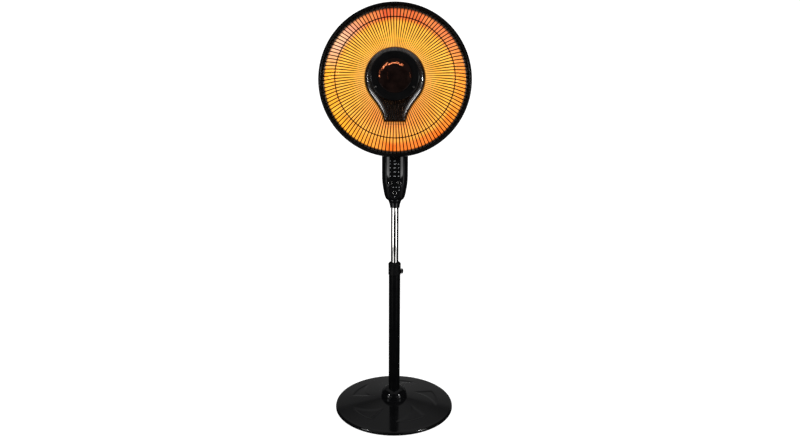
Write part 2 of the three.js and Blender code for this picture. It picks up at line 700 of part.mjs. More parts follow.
function buildControlBox() {
  const group = new THREE.Group();
  const poleInner = INNER_POLE_RADIUS - INNER_POLE_WALL;
  addPiece(group, 'inner_pole', ring(poleInner, INNER_POLE_RADIUS, INNER_POLE_BOTTOM, INNER_POLE_TOP), 'chrome');
  const plugTop = INNER_POLE_BOTTOM - SEAT;
  const plugRadius = OUTER_POLE_RADIUS - OUTER_POLE_WALL - SEAT;
  addPiece(group, 'pole_end_plug', turned([
    [0, plugTop - POLE_PLUG_LENGTH],
    [plugRadius, plugTop - POLE_PLUG_LENGTH],
    [plugRadius, plugTop],
    [poleInner - SEAT, plugTop],
    [poleInner - SEAT, plugTop + POLE_PLUG_LENGTH],
    [0, plugTop + POLE_PLUG_LENGTH],
  ]), 'nylon');
  addPiece(group, 'neck_ferrule', ferrule(), 'black_gloss');
  const clamp = block([-CLAMP_WIDTH / 2, -CLAMP_DEPTH / 2, CLAMP_LOW], [CLAMP_WIDTH / 2, CLAMP_DEPTH / 2, CLAMP_HIGH]);
  addPiece(group, 'pole_clamp', cut(clamp, disc(INNER_POLE_RADIUS + SEAT, CLAMP_LOW - 1, CLAMP_HIGH + 1)), 'black_satin');
  addPiece(group, 'housing_front', housingFront(), 'black_gloss');
  addPiece(group, 'housing_rear', housingRear(), 'black_gloss');
  addPiece(group, 'control_panel', controlPanel(), 'black_gloss');
  BUTTONS.forEach((entry) => addPiece(group, entry[0], button(entry), 'black_gloss'));
  BOX_SCREWS.forEach((place, i) => addPiece(group, `housing_screw_${i + 1}`, boxScrew(place), 'steel'));
  const gland = backward(turned([
    [GLAND_BORE, boxFace(0, GLAND_HEIGHT, BOX_WALL + 3)],
    [GLAND_BORE + 1.6, boxFace(0, GLAND_HEIGHT, BOX_WALL + 3)],
    [GLAND_BORE + 1.6, boxFace(0, GLAND_HEIGHT) + SEAT],
    [GLAND_BORE + 4.6, boxFace(0, GLAND_HEIGHT) + SEAT],
    [GLAND_BORE + 4.6, boxFace(0, GLAND_HEIGHT) + 3],
    [GLAND_BORE + 2.2, boxFace(0, GLAND_HEIGHT) + 11],
    [GLAND_BORE, boxFace(0, GLAND_HEIGHT) + 11],
    [GLAND_BORE, boxFace(0, GLAND_HEIGHT, BOX_WALL + 3)],
  ], SMALL_ROUND)).translate(0, 0, GLAND_HEIGHT);
  addPiece(group, 'cord_gland', gland, 'rubber');
  addBoard(group);
  addSwingDrive(group);
  return group;
}

// Circuit board behind the buttons, with the parts that it carries.
function addBoard(group) {
  const half = BOARD_WIDTH / 2;
  const board = block([-half, -BOARD_FRONT, BOARD_LOW + 8], [half, -BOARD_BACK, BOARD_HIGH]);
  const tongue = block([-BOARD_TONGUE, -BOARD_FRONT, BOARD_LOW], [BOARD_TONGUE, -BOARD_BACK, BOARD_LOW + 9]);
  const relay = block([-17, -BOARD_BACK - 0.4, 706], [-1, -BOARD_BACK + 12, 726]);
  const trimmed = common(join(board, tongue), boxForm(BOX_WALL + SEAT));
  addPiece(group, 'circuit_board', join(trimmed, relay), 'board');
  const back = -BOARD_BACK + SEAT;
  addPiece(group, 'tip_switch', block([4, back, 708], [16, back + 12, 722]), 'marks');
}

// ------------------------------------------------------------------ swing drive inside the box
const MOTOR_LOW = MOTOR_PLATE_HEIGHT + MOTOR_PLATE_THICKNESS + SEAT;
const CRANK_LOW = MOTOR_LOW + MOTOR_HEIGHT + SEAT;
const LEVER_LOW = CRANK_LOW + CRANK_THICKNESS + 0.6;
const LEVER_HIGH = LEVER_LOW + LEVER_THICKNESS;

function motorPlate() {
  const low = MOTOR_PLATE_HEIGHT;
  return boxForm(BOX_WALL + SEAT, low, low + MOTOR_PLATE_THICKNESS);
}

function swingMotor() {
  const body = disc(MOTOR_RADIUS, MOTOR_LOW, MOTOR_LOW + MOTOR_HEIGHT).translate(0, MOTOR_SETBACK, 0);
  const shaft = disc(2.4, MOTOR_LOW + 1, CRANK_LOW + CRANK_THICKNESS, TINY_ROUND).translate(0, CRANK_DISTANCE, 0);
  return join(body, shaft);
}

function crankDisc() {
  const plate = ring(2.4 + SEAT, CRANK_RADIUS, CRANK_LOW, CRANK_LOW + CRANK_THICKNESS, 16);
  const pin = disc(CRANK_PIN_RADIUS, CRANK_LOW + 1, LEVER_HIGH - 0.5, TINY_ROUND).translate(0, CRANK_THROW, 0);
  return join(plate, pin).translate(0, CRANK_DISTANCE, 0);
}

// Slotted lever on the swing shaft: the crank pin runs in its slot.
function swingLever() {
  const half = LEVER_WIDTH / 2;
  const arm = new THREE.Shape();
  arm.moveTo(-half - 3, 0);
  arm.lineTo(-half, LEVER_REACH - half);
  arm.absarc(0, LEVER_REACH - half, half, Math.PI, 0, true);
  arm.lineTo(half + 3, 0);
  arm.absarc(0, 0, half + 3, 0, Math.PI, true);
  const slotHalf = CRANK_PIN_RADIUS + SLOT_PLAY;
  const slot = new THREE.Path();
  const slotEnd = CRANK_DISTANCE + CRANK_THROW;
  slot.absarc(0, slotEnd - 0.6, slotHalf, 0, Math.PI, false);
  slot.absarc(0, CRANK_DISTANCE - 0.6, slotHalf, Math.PI, 2 * Math.PI, false);
  slot.closePath();
  const bore = new THREE.Path();
  bore.absarc(0, 0, SWING_SHAFT_RADIUS + SEAT, 0, 2 * Math.PI, false);
  arm.holes.push(slot, bore);
  const plate = new THREE.ExtrudeGeometry(arm, { depth: LEVER_THICKNESS, bevelEnabled: false, curveSegments: 6 });
  return plate.translate(0, 0, LEVER_LOW);
}

function addSwingDrive(group) {
  addPiece(group, 'motor_plate', motorPlate(), 'steel');
  addPiece(group, 'swing_motor', swingMotor(), 'steel');
  addPiece(group, 'crank_disc', crankDisc(), 'nylon');
  const washer = ring(SWING_SHAFT_RADIUS + SEAT, TURRET_RADIUS, BOX_TOP + SEAT, BOX_TOP + SEAT + SWING_WASHER);
  addPiece(group, 'swing_washer', washer, 'nylon');
}

// ------------------------------------------------------------------ swinging neck
const TURRET_LOW = BOX_TOP + 2 * SEAT + SWING_WASHER;
const HEAD_ORIGIN = new THREE.Vector3(0, -HEAD_FORWARD, HEAD_HEIGHT);
const HEAD_TURN = new THREE.Euler(-HEAD_TILT * DEGREE, 0, 0);
const PIVOT_LOCAL = new THREE.Vector3(0, PIVOT_BACK, -PIVOT_DROP);
const PIVOT = PIVOT_LOCAL.clone().applyEuler(HEAD_TURN).add(HEAD_ORIGIN);

function swivelNeck() {
  const turret = turned([
    [0, LEVER_LOW],
    [SWING_SHAFT_RADIUS, LEVER_LOW],
    [SWING_SHAFT_RADIUS, TURRET_LOW],
    [TURRET_RADIUS, TURRET_LOW],
    [TURRET_RADIUS, TURRET_LOW + 0.6 * TURRET_HEIGHT],
    [TURRET_RADIUS - 4, TURRET_LOW + TURRET_HEIGHT],
    [0, TURRET_LOW + TURRET_HEIGHT],
  ]);
  const foot = new THREE.Vector3(0, 4, TURRET_LOW + TURRET_HEIGHT);
  const arm = strut(foot, PIVOT, KNUCKLE_RADIUS + 4, KNUCKLE_HALF - 1.6, 20);
  const half = KNUCKLE_HALF;
  const knuckle = sideways(disc(KNUCKLE_RADIUS, -half, half, 20)).translate(...PIVOT.toArray());
  const bore = sideways(disc(TILT_PIN_RADIUS + SEAT, -2 * half, 2 * half, SMALL_ROUND)).translate(...PIVOT.toArray());
  return cut(join(turret, arm, knuckle), bore);
}

function buildSwivel() {
  const group = new THREE.Group();
  addPiece(group, 'swivel_neck', swivelNeck(), 'black_satin');
  addPiece(group, 'swing_lever', swingLever(), 'steel');
  const nutHigh = BOX_TOP - BOX_WALL - SEAT;
  addPiece(group, 'swing_nut', ring(SWING_SHAFT_RADIUS + SEAT, 12, nutHigh - 5, nutHigh, SMALL_ROUND), 'steel');
  return group;
}

// ------------------------------------------------------------------ head, in its own frame
// Heights of turned pieces run forward from the ring plane, because facing() lays them along -Y.
function dishLevel(radius) {
  return FLANGE_LEVEL - DISH_DEPTH * (1 - (radius / DISH_RADIUS) ** 2);
}

function dishPoints(offset, outer = DISH_RADIUS) {
  return Array.from({ length: DISH_STEPS + 1 }, (_, i) => {
    const radius = outer * (1 - i / DISH_STEPS);
    return [radius, dishLevel(radius) + offset];
  });
}

function reflector() {
  const edge = HEAD_RADIUS - RIM_WALL - SEAT - 0.4;
  const front = dishPoints(0);
  const back = dishPoints(-DISH_SHEET).reverse();
  const profile = [
    ...back,
    [DISH_RADIUS + 1.6, FLANGE_LEVEL - DISH_SHEET],
    [edge, FLANGE_LEVEL - DISH_SHEET],
    [edge, FLANGE_LEVEL],
    ...front,
  ];
  return facing(turned(profile, HEAD_SIDES));
}

// Space taken by the dish and all that lies behind or before it, for pieces that seat on it.
function dishKeepOut(side) {
  const offset = side > 0 ? SEAT : -DISH_SHEET - SEAT;
  const reach = side > 0 ? -2 * DISH_DEPTH : 2 * DISH_DEPTH;
  return facing(turned([[0, reach], [DISH_RADIUS, reach], ...dishPoints(offset)], HEAD_SIDES));
}

function rimFront() {
  const [r, wall, top] = [HEAD_RADIUS, RIM_WALL, RIM_REACH];
  return facing(turned([
    [r, 0.2],
    [r, top - 5.4],
    [r - 1.6, top - 1.7],
    [r - 5, top],
    [RIM_INNER + 0.2, top - 2.6],
    [r - 5.2, top - 2.3],
    [r - wall, top - 5.6],
    [r - wall, 0.2],
    [r, 0.2],
  ], HEAD_SIDES));
}

function rimRear() {
  const [r, wall, low] = [HEAD_RADIUS, RIM_WALL, -RIM_REACH - 0.6];
  const shelf = FLANGE_LEVEL - DISH_SHEET - SEAT;
  return facing(turned([
    [r, 0.2 - SEAT],
    [r, low + 5],
    [r - 4, low],
    [RIM_INNER, low],
    [RIM_INNER + 2, low + 2.2],
    [r - wall - 0.8, shelf - 2],
    [RIM_INNER, shelf - 1.4],
    [RIM_INNER, shelf],
    [r - wall - SEAT, shelf],
    [r - wall - SEAT, 0.2 - SEAT],
    [r, 0.2 - SEAT],
  ], HEAD_SIDES));
}

const COVER_EDGE = -RIM_REACH - 0.6 - SEAT;

function coverProfile(grow) {
  return [
    [HEAD_RADIUS - 3 + grow, COVER_EDGE],
    [HEAD_RADIUS - 4.5 + grow, -19 - grow],
    [HEAD_RADIUS - 23, -33 - grow],
    [120, -66 - grow],
    [70, -COVER_DEPTH + 4 - grow],
    [0, -COVER_DEPTH - grow],
  ];
}

function ventSlots() {
  const slots = [];
  for (let i = 0; i < VENT_COUNT; i += 1) {
    const turn = ((i + 0.5) / VENT_COUNT) * 360 - 90;
    const fromBelow = Math.min((i + 0.5), VENT_COUNT - i - 0.5) * (360 / VENT_COUNT);
    if (fromBelow > 30) {
      const slot = block([-VENT_LENGTH / 2, -VENT_WIDTH / 2, -120], [VENT_LENGTH / 2, VENT_WIDTH / 2, -40]);
      slots.push(facing(slot.translate(VENT_CIRCLE, 0, 0).rotateZ(turn * DEGREE)));
    }
  }
  return slots;
}

function rearCover() {
  const outer = coverProfile(0);
  const inner = coverProfile(-COVER_WALL).reverse();
  inner[inner.length - 1] = [HEAD_RADIUS - 5.6, COVER_EDGE];
  return cut(facing(turned([...inner, ...outer], HEAD_SIDES)), ...ventSlots());
}

// Wire guard: radial wires and three rings as one perforated domed shell, built level by level from the rim inward.
const GUARD_LEVELS = [
  [GUARD_RADIUS, FLANGE_LEVEL + SEAT + WIRE_SIZE / 2 + 0.1],
  [GUARD_RADIUS - 3.2, 6.4],
  [MID_RING_RADIUS + WIRE_SIZE / 2, MID_RING_REACH - 0.4],
  [MID_RING_RADIUS - WIRE_SIZE / 2, MID_RING_REACH + 0.4],
  [HUB_RING_RADIUS + 1.5, HUB_RING_REACH],
  [HUB_RING_RADIUS - 1.5, HUB_RING_REACH],
];
const GUARD_RINGS = [0, 2, 4]; // rows between these levels and the next are closed rings

function guardNormals() {
  return GUARD_LEVELS.map((_, level) => {
    if (level === 0 || level >= GUARD_LEVELS.length - 2) return new THREE.Vector2(0, 1);
    const [before, after] = [GUARD_LEVELS[level - 1], GUARD_LEVELS[level + 1]];
    const along = new THREE.Vector2(after[0] - before[0], after[1] - before[1]).normalize();
    return new THREE.Vector2(along.y, -along.x);
  });
}

function guard() {
  const positions = [];
  const index = [];
  const normals = guardNormals();
  const half = WIRE_SIZE / 2;
  // Each wire has a left and a right corner in front and one corner behind them, at every level.
  GUARD_LEVELS.forEach(([radius, reach], level) => {
    const normal = normals[level];
    for (let wire = 0; wire < WIRE_COUNT; wire += 1) {
      const middle = ((wire + 0.5) / WIRE_COUNT) * 2 * Math.PI;
      const lean = Math.asin(half / radius);
      for (const [turn, face] of [[middle - lean, 1], [middle + lean, 1], [middle, -1]]) {
        const r = radius + face * half * normal.x;
        positions.push(r * Math.cos(turn), r * Math.sin(turn), reach + face * half * normal.y);
      }
    }
  });
  const [LEFT, RIGHT, BACK] = [0, 1, 2];
  const corner = (level, wire, which) => (level * WIRE_COUNT + (wire % WIRE_COUNT)) * 3 + which;
  const quad = (a, b, c, d) => index.push(a, b, c, a, c, d);
  // Skin between two levels, from one corner line to another.
  const strip = (row, w0, c0, w1, c1) =>
    quad(corner(row, w0, c0), corner(row, w1, c1), corner(row + 1, w1, c1), corner(row + 1, w0, c0));
  const last = GUARD_LEVELS.length - 1;
  for (let wire = 0; wire < WIRE_COUNT; wire += 1) {
    for (let row = 0; row < last; row += 1) {
      strip(row, wire, LEFT, wire, RIGHT);
      if (GUARD_RINGS.includes(row)) {
        strip(row, wire, RIGHT, wire + 1, LEFT);
        strip(row, wire + 1, BACK, wire, BACK);
        addRingWall(row, wire, true);
        addRingWall(row + 1, wire, false);
      } else {
        strip(row, wire, RIGHT, wire, BACK);
        strip(row, wire, BACK, wire, LEFT);
      }
    }
    index.push(corner(0, wire, LEFT), corner(0, wire, BACK), corner(0, wire, RIGHT));
    index.push(corner(last, wire, LEFT), corner(last, wire, RIGHT), corner(last, wire, BACK));
  }
  // Edge of a ring in the gap after a wire.
  function addRingWall(level, wire, outward) {
    const [a, b] = [corner(level, wire, RIGHT), corner(level, wire + 1, LEFT)];
    const [c, d] = [corner(level, wire + 1, BACK), corner(level, wire, BACK)];
    if (outward) quad(a, d, c, b);
    else quad(a, b, c, d);
  }
  const geometry = new THREE.BufferGeometry();
  geometry.setAttribute('position', new THREE.Float32BufferAttribute(positions, 3));
  geometry.setIndex(index);
  return facing(geometry);
}

// Keyhole outline of the hood: a round top that sweeps in to a straight-ended neck.
function hoodOutline() {
  const leave = -38 * DEGREE;
  const [ax, az] = [HOOD_RADIUS * Math.cos(leave), HOOD_RADIUS * Math.sin(leave)];
  const sweep = [22 * Math.sin(leave), -22 * Math.cos(leave)];
  const [bx, bz] = [HOOD_NECK_HALF, -HOOD_NECK_DROP];
  const outline = new THREE.Shape();
  outline.moveTo(bx, bz);
  outline.bezierCurveTo(bx + 2.6, bz + 26, ax + sweep[0], az + sweep[1], ax, az);
  outline.absarc(0, 0, HOOD_RADIUS, leave, Math.PI - leave, false);
  outline.bezierCurveTo(-ax - sweep[0], az + sweep[1], -bx - 2.6, bz + 26, -bx, bz);
  outline.closePath();
  return outline;
}

function hoodForm(inset, reach, rounding) {
  const depth = HOOD_DEPTH + 10;
  const form = new THREE.ExtrudeGeometry(hoodOutline(), {
    depth,
    curveSegments: 8,
    bevelThickness: rounding,
    bevelSize: rounding,
    bevelOffset: -rounding - inset,
    bevelSegments: 2,
  });
  return facing(form.translate(0, 0, reach - depth - rounding));
}

function hood() {
  const back = HOOD_REACH - HOOD_DEPTH;
  const behind = block([-150, -back, -200], [150, 150, 150]);
  const hollow = hoodForm(HOOD_WALL, HOOD_REACH - HOOD_WALL, HOOD_ROUNDING - 1.5);
  const window = facing(disc(SIGHT_RADIUS - 2.5, 0, 2 * HOOD_REACH, ROUND));
  const screws = [-1, 1].map((side) =>
    facing(disc(1.6 + SEAT, 0, 2 * HOOD_REACH, TINY_ROUND)).translate(side * HUB_SCREW_X, 0, HUB_SCREW_Z));
  return cut(hoodForm(0, HOOD_REACH, HOOD_ROUNDING), behind, hollow, window, ...screws);
}

// Channel that carries the hood's neck from the dish and hides the lamp's leads.
const LEG_FRONT = LAMP_REACH - LAMP_TUBE_RADIUS - 3 - SEAT;
function hoodLeg() {
  const half = HOOD_NECK_HALF - HOOD_WALL - 0.6;
  const [low, high] = [-HOOD_NECK_DROP + HOOD_WALL + 0.4, -HOOD_NECK_DROP + 26];
  const body = block([-half, -LEG_FRONT, low], [half, DISH_DEPTH, high]);
  const channel = block([-half + 3, -LEG_FRONT - 1, low + 3], [half - 3, DISH_DEPTH + 1, high + 1]);
  return cut(body, channel, dishKeepOut(1));
}

const PLATE_BACK = HUB_RING_REACH + WIRE_SIZE / 2 + SEAT;
const PLATE_FRONT = PLATE_BACK + HUB_PLATE_THICKNESS;

function hubPlate() {
  const lens = SIGHT_RADIUS + SEAT;
  const plate = turned([
    [SIGHT_RADIUS - 2.5, PLATE_BACK],
    [HUB_PLATE_RADIUS, PLATE_BACK],
    [HUB_PLATE_RADIUS, PLATE_FRONT],
    [lens, PLATE_FRONT],
    [lens, PLATE_BACK + 1.3],
    [SIGHT_RADIUS - 2.5, PLATE_BACK + 1.3],
    [SIGHT_RADIUS - 2.5, PLATE_BACK],
  ]);
  const boss = ring(46.5, 54, HOOD_REACH + SEAT, PLATE_BACK + 1, ROUND);
  const screws = [-1, 1].map((side) => disc(1.6 + SEAT, 0, 2 * PLATE_FRONT, TINY_ROUND).translate(side * HUB_SCREW_X, HUB_SCREW_Z, 0));
  return facing(cut(join(plate, boss), ...screws));
}

function sightLens() {
  const seat = PLATE_BACK + 1.3 + SEAT;
  return facing(turned([
    [0, seat + 3.6],
    [SIGHT_RADIUS - 3.5, seat],
    [SIGHT_RADIUS, seat],
    [SIGHT_RADIUS, seat + 1.6],
    [32, seat + 4.4],
    [16, seat + 5.8],
    [0, seat + 6.2],
  ]));
}

function hubScrew(side) {
  const seat = PLATE_FRONT + SEAT;
  return facing(turned([
    [0, HOOD_REACH - 6],
    [1.6, HOOD_REACH - 6],
    [1.6, seat],
    [3.1, seat],
    [2.6, seat + 1.2],
    [0, seat + 1.8],
  ], TINY_ROUND)).translate(side * HUB_SCREW_X, 0, HUB_SCREW_Z);
}

// Omega-shaped quartz tube: a ring that faces the dish, with two legs down the hood's neck.
function lampTube() {
  const y = -LAMP_REACH;
  const leg = [LAMP_BOTTOM, 0.8 * LAMP_BOTTOM, 0.6 * LAMP_BOTTOM];
  const points = leg.map((z) => new THREE.Vector3(LAMP_LEG_X, y, z));
  for (let turn = -58; turn <= 238; turn += 18.5) {
    const angle = turn * DEGREE;
    points.push(new THREE.Vector3(LAMP_RING_RADIUS * Math.cos(angle), y, LAMP_RING_RADIUS * Math.sin(angle)));
  }
  points.push(...leg.reverse().map((z) => new THREE.Vector3(-LAMP_LEG_X, y, z)));
  const section = new THREE.Shape().absarc(0, 0, LAMP_TUBE_RADIUS, 0, 2 * Math.PI, false);
  return new THREE.ExtrudeGeometry(section, {
    steps: 32,
    curveSegments: 3,
    extrudePath: new THREE.CatmullRomCurve3(points, false, 'centripetal'),
  });
}

function lampCap(side) {
  const [front, back] = [HOOD_REACH - HOOD_WALL - SEAT, LAMP_REACH - LAMP_TUBE_RADIUS - 3];
  const half = CAP_WIDTH / 2;
  const x = side * (LAMP_LEG_X + 1);
  const low = LAMP_BOTTOM - 4;
  const body = block([x - half, -front, low], [x + half, -back, low + CAP_HEIGHT]);
  const bore = disc(LAMP_TUBE_RADIUS + SEAT, LAMP_BOTTOM - SEAT, 0, SMALL_ROUND).translate(side * LAMP_LEG_X, -LAMP_REACH, 0);
  return cut(body, bore);
}

function thermalCutout() {
  const can = facing(disc(8, -DISH_DEPTH - 6, -DISH_DEPTH + 12, SMALL_ROUND)).translate(0, 0, 60);
  return cut(can, dishKeepOut(-1));
}

function tiltBracket() {
  const inner = KNUCKLE_HALF + SEAT;
  const outer = inner + CHEEK_THICKNESS;
  const [back, drop] = [PIVOT_BACK, PIVOT_DROP];
  const pad = block([-24, 60, -drop + 10], [24, back - KNUCKLE_RADIUS - 4, -drop + 56]);
  const side = new THREE.Shape();
  side.moveTo(70, -drop + 50);
  side.lineTo(back + 10, -drop + 10);
  side.absarc(back, -drop, KNUCKLE_RADIUS + 1, 45 * DEGREE, -135 * DEGREE, true);
  side.lineTo(70, -drop + 12);
  side.closePath();
  const cheeks = [-outer, inner].map((start) => {
    const cheek = new THREE.ExtrudeGeometry(side, { depth: CHEEK_THICKNESS, bevelEnabled: false, curveSegments: 8 });
    const turn = new THREE.Matrix4().makeBasis(
      new THREE.Vector3(0, 1, 0),
      new THREE.Vector3(0, 0, 1),
      new THREE.Vector3(1, 0, 0),
    );
    return cheek.applyMatrix4(turn).translate(start, 0, 0);
  });
  const bore = sideways(disc(TILT_PIN_RADIUS + SEAT, -60, 60, SMALL_ROUND)).translate(0, back, -drop);
  const coverKeepOut = facing(turned([...coverProfile(SEAT).reverse(), [0, COVER_EDGE]], HEAD_SIDES));
  return cut(join(pad, ...cheeks), bore, coverKeepOut);
}

const CHEEK_FACE = KNUCKLE_HALF + SEAT + CHEEK_THICKNESS + SEAT;

function tiltPin() {
  const end = CHEEK_FACE + TILT_KNOB_LENGTH - 4;
  return sideways(turned([
    [0, -CHEEK_FACE - 5],
    [6.5, -CHEEK_FACE - 5],
    [7.5, -CHEEK_FACE - 4],
    [7.5, -CHEEK_FACE],
    [TILT_PIN_RADIUS, -CHEEK_FACE],
    [TILT_PIN_RADIUS, end],
    [0, end],
  ], SMALL_ROUND)).translate(0, PIVOT_BACK, -PIVOT_DROP);
}

function tiltKnob() {
  const grip = knob(TILT_KNOB_RADIUS, TILT_KNOB_LENGTH, 6, 2.6, 2);
  const socket = disc(TILT_PIN_RADIUS + SEAT, -1, TILT_KNOB_LENGTH - 4 + SEAT, SMALL_ROUND);
  return sideways(cut(grip, socket)).translate(CHEEK_FACE, PIVOT_BACK, -PIVOT_DROP);
}

function buildHead() {
  const group = new THREE.Group();
  group.position.copy(HEAD_ORIGIN);
  group.rotation.copy(HEAD_TURN);
  addPiece(group, 'rim_front', rimFront(), 'black_satin');
  addPiece(group, 'rim_rear', rimRear(), 'black_satin');
  addPiece(group, 'reflector', reflector(), 'gold_mirror');
  addPiece(group, 'guard', guard(), 'guard_wire');
  addPiece(group, 'rear_cover', rearCover(), 'black_paint');
  addPiece(group, 'hood', hood(), 'black_satin');
  addPiece(group, 'hood_leg', hoodLeg(), 'steel');
  addPiece(group, 'hub_plate', hubPlate(), 'black_gloss');
  addPiece(group, 'sight_lens', sightLens(), 'smoked');
  addPiece(group, 'hub_screw_left', hubScrew(-1), 'steel');
  addPiece(group, 'hub_screw_right', hubScrew(1), 'steel');
  addPiece(group, 'lamp_tube', lampTube(), 'glow');
  addPiece(group, 'lamp_cap_left', lampCap(-1), 'ceramic');
  addPiece(group, 'lamp_cap_right', lampCap(1), 'ceramic');
  addPiece(group, 'thermal_cutout', thermalCutout(), 'steel');
  addPiece(group, 'tilt_bracket', tiltBracket(), 'black_paint');
  addPiece(group, 'tilt_pin', tiltPin(), 'steel');
  addPiece(group, 'tilt_knob', tiltKnob(), 'black_satin');
  return group;
}

const heater = new THREE.Group();
heater.add(buildBase(), buildColumn(), buildControlBox(), buildSwivel(), buildHead());

export default heater;
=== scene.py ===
"""Looks of the parabolic heater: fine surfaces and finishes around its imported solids, with a small studio.

Shapes are written in millimetres in the heater's own frame: +Z up, the front looks along -Y.
"""

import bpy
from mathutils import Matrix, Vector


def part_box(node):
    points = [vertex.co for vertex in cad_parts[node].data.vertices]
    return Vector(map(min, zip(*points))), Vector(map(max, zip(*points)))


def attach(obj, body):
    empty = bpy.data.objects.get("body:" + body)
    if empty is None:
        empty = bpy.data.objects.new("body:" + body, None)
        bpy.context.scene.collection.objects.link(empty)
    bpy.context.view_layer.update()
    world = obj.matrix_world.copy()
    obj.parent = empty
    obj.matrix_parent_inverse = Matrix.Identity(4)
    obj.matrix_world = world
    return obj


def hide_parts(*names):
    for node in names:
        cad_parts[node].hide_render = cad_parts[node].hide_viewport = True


bl_info = {
    "name": "Parabolic Heater",
    "version": (1, 0, 0),
    "blender": (4, 5, 0),
    "location": "3D View > Sidebar > Heater",
    "description": "Builds a pedestal radiant heater around its packed solids",
    "category": "Add Mesh",
}

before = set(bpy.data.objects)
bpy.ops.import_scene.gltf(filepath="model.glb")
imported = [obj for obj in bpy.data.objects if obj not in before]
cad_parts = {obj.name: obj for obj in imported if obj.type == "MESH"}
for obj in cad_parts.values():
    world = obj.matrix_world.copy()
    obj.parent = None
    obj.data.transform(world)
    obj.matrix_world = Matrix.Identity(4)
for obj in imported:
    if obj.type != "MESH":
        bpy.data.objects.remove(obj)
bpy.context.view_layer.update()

import math

import bmesh
import bpy
from bpy.props import FloatProperty, FloatVectorProperty, IntProperty, PointerProperty
from mathutils import Matrix, Vector

MM = 0.001
TURN = 2 * math.pi
FACING = Matrix.Rotation(math.radians(90), 4, "X")  # heights run along -Y
BACKWARD = Matrix.Rotation(math.radians(-90), 4, "X")  # heights run along +Y
SIDEWAYS = Matrix.Rotation(math.radians(90), 4, "Y")  # heights run along +X

# ------------------------------------------------------------------ the solids' own sizes, in millimetres
HEAD_PLACE = Matrix.Translation((0, -66, 969)) @ Matrix.Rotation(math.radians(-7.5), 4, "X")
HEAD_FACING = HEAD_PLACE @ FACING
PIVOT_IN_HEAD = (0, 100, -100)
HEAD_RADIUS = 205
DISH_RADIUS = 192
DISH_DEPTH = 70
DISH_EDGE = 202.3
DISH_SHEET = 1.2
FLANGE_LEVEL = 2.4
BASE_RADIUS = 178
BASE_SHOULDER = BASE_RADIUS - 7
BASE_CROWN = 28
BASE_RIM = 12
BASE_SHEET = 2.2
BASE_BORE = 18
DOME_RADIUS = 40
DOME_NECK = 17.3
DOME_FOOT = 28.3
OUTER_TUBE = 17
INNER_TUBE = 11
TUBE_WALL = 1
LOCK_HEIGHT = 425
BOX_BOTTOM = 638
BOX_TOP = 785
BOX_WALL = 3.2
CASE_EDGE = 0.35
BOX_DEPTH_RATIO = 64 / 74.6
BOX_SQUARENESS = 3.2
TUBE_BORE = 11.3
NECK_BORE = 7.3
CUT_REACH = 60  # past the box's walls on every side
GLAND_HEIGHT = 716
SCREW_PLACES = [(-25, 773), (25, 773), (-20.4, 655), (20.4, 655)]
BUTTON_HOLE = 4.5
BUTTONS = {  # place on the box's front and the body that it moves with
    "button_power": (-13, 689.7, "power"),
    "button_heat": (13, 689.7, "heat"),
    "button_swing": (0, 661.3, "swing"),
}
HOOD_RADIUS = 81.6
HOOD_REACH = 42
HOOD_BACK = 10
HOOD_ROUNDING = 15
HOOD_CROWN = 19  # width over which the rolled edge rises
HOOD_SHEET = 2
HOOD_WINDOW = 41.5
HOOD_NECK_DROP = 116
HOOD_NECK_HALF = 30.6
SIGHT_RADIUS = 44
PLATE_BACK = 54.65
PLATE_FRONT = 57.25
LAMP_LEVEL = 24
LAMP_RADIUS = 5
COIL_RADIUS = 2.7
FILAMENT_RADIUS = 0.45


# ------------------------------------------------------------------ values that a user would change
class HeaterSizes(bpy.types.PropertyGroup):
    wire_width: FloatProperty(
        name="Wire width", description="Thickness of a radial wire", default=2.9 * MM, unit="LENGTH")
    wire_count: IntProperty(
        name="Wires", description="Radial wires in the guard", default=120, min=24, max=160)
    petal_depth: FloatProperty(
        name="Petal depth", description="Depth of the pinwheel in the base", default=1.3 * MM, unit="LENGTH")
    roundness: IntProperty(name="Roundness", description="Sides of large turned pieces", default=192, min=48)
    coil_turns: IntProperty(name="Coil turns", description="Turns of the lamp's filament", default=96, min=20)


def tone(name, description, *default):
    return FloatVectorProperty(name=name, description=description, subtype="COLOR", default=default)


class HeaterColours(bpy.types.PropertyGroup):
    gloss: tone("Gloss black", "Polished mouldings", 0.0016, 0.0016, 0.0018)
    satin: tone("Satin black", "Grained mouldings", 0.0018, 0.0018, 0.0019)
    # Painted glow of the dish: emission colours that stand in for the lamp's light thrown back by the
    # reflector.
    painted_glow_inner: tone("Inner glow", "Dish around the hood", 0.97, 0.44, 0.10)
    painted_glow_middle: tone("Middle glow", "Dish between the hood and the ring wire", 1.0, 0.46, 0.05)
    painted_glow_outer: tone("Outer glow", "Dish near the rim", 0.95, 0.26, 0.02)
    wire: tone("Guard wire", "Plated wire", 0.014, 0.007, 0.0035)
    paper: tone("Studio white", "Floor and backdrop", 0.45, 0.45, 0.45)


def sizes():
    return bpy.context.scene.heater_sizes


def colours():
    return bpy.context.scene.heater_colours


# ------------------------------------------------------------------ shapes: lists of corners and faces
def soften(points, steps=4):
    """Looped profile whose corners are rounded by each point's third value, where it has one."""
    rounded = []
    for i, point in enumerate(points):
        if len(point) < 3:
            rounded.append(tuple(point))
            continue
        corner = Vector(point[:2])
        before = Vector(points[i - 1][:2]) - corner
        after = Vector(points[(i + 1) % len(points)][:2]) - corner
        reach = min(point[2], 0.49 * before.length, 0.49 * after.length)
        start, end = corner + before.normalized() * reach, corner + after.normalized() * reach
        for step in range(steps + 1):
            t = step / steps
            place = start * (1 - t) ** 2 + corner * 2 * t * (1 - t) + end * t * t
            rounded.append((place.x, place.y))
    return rounded


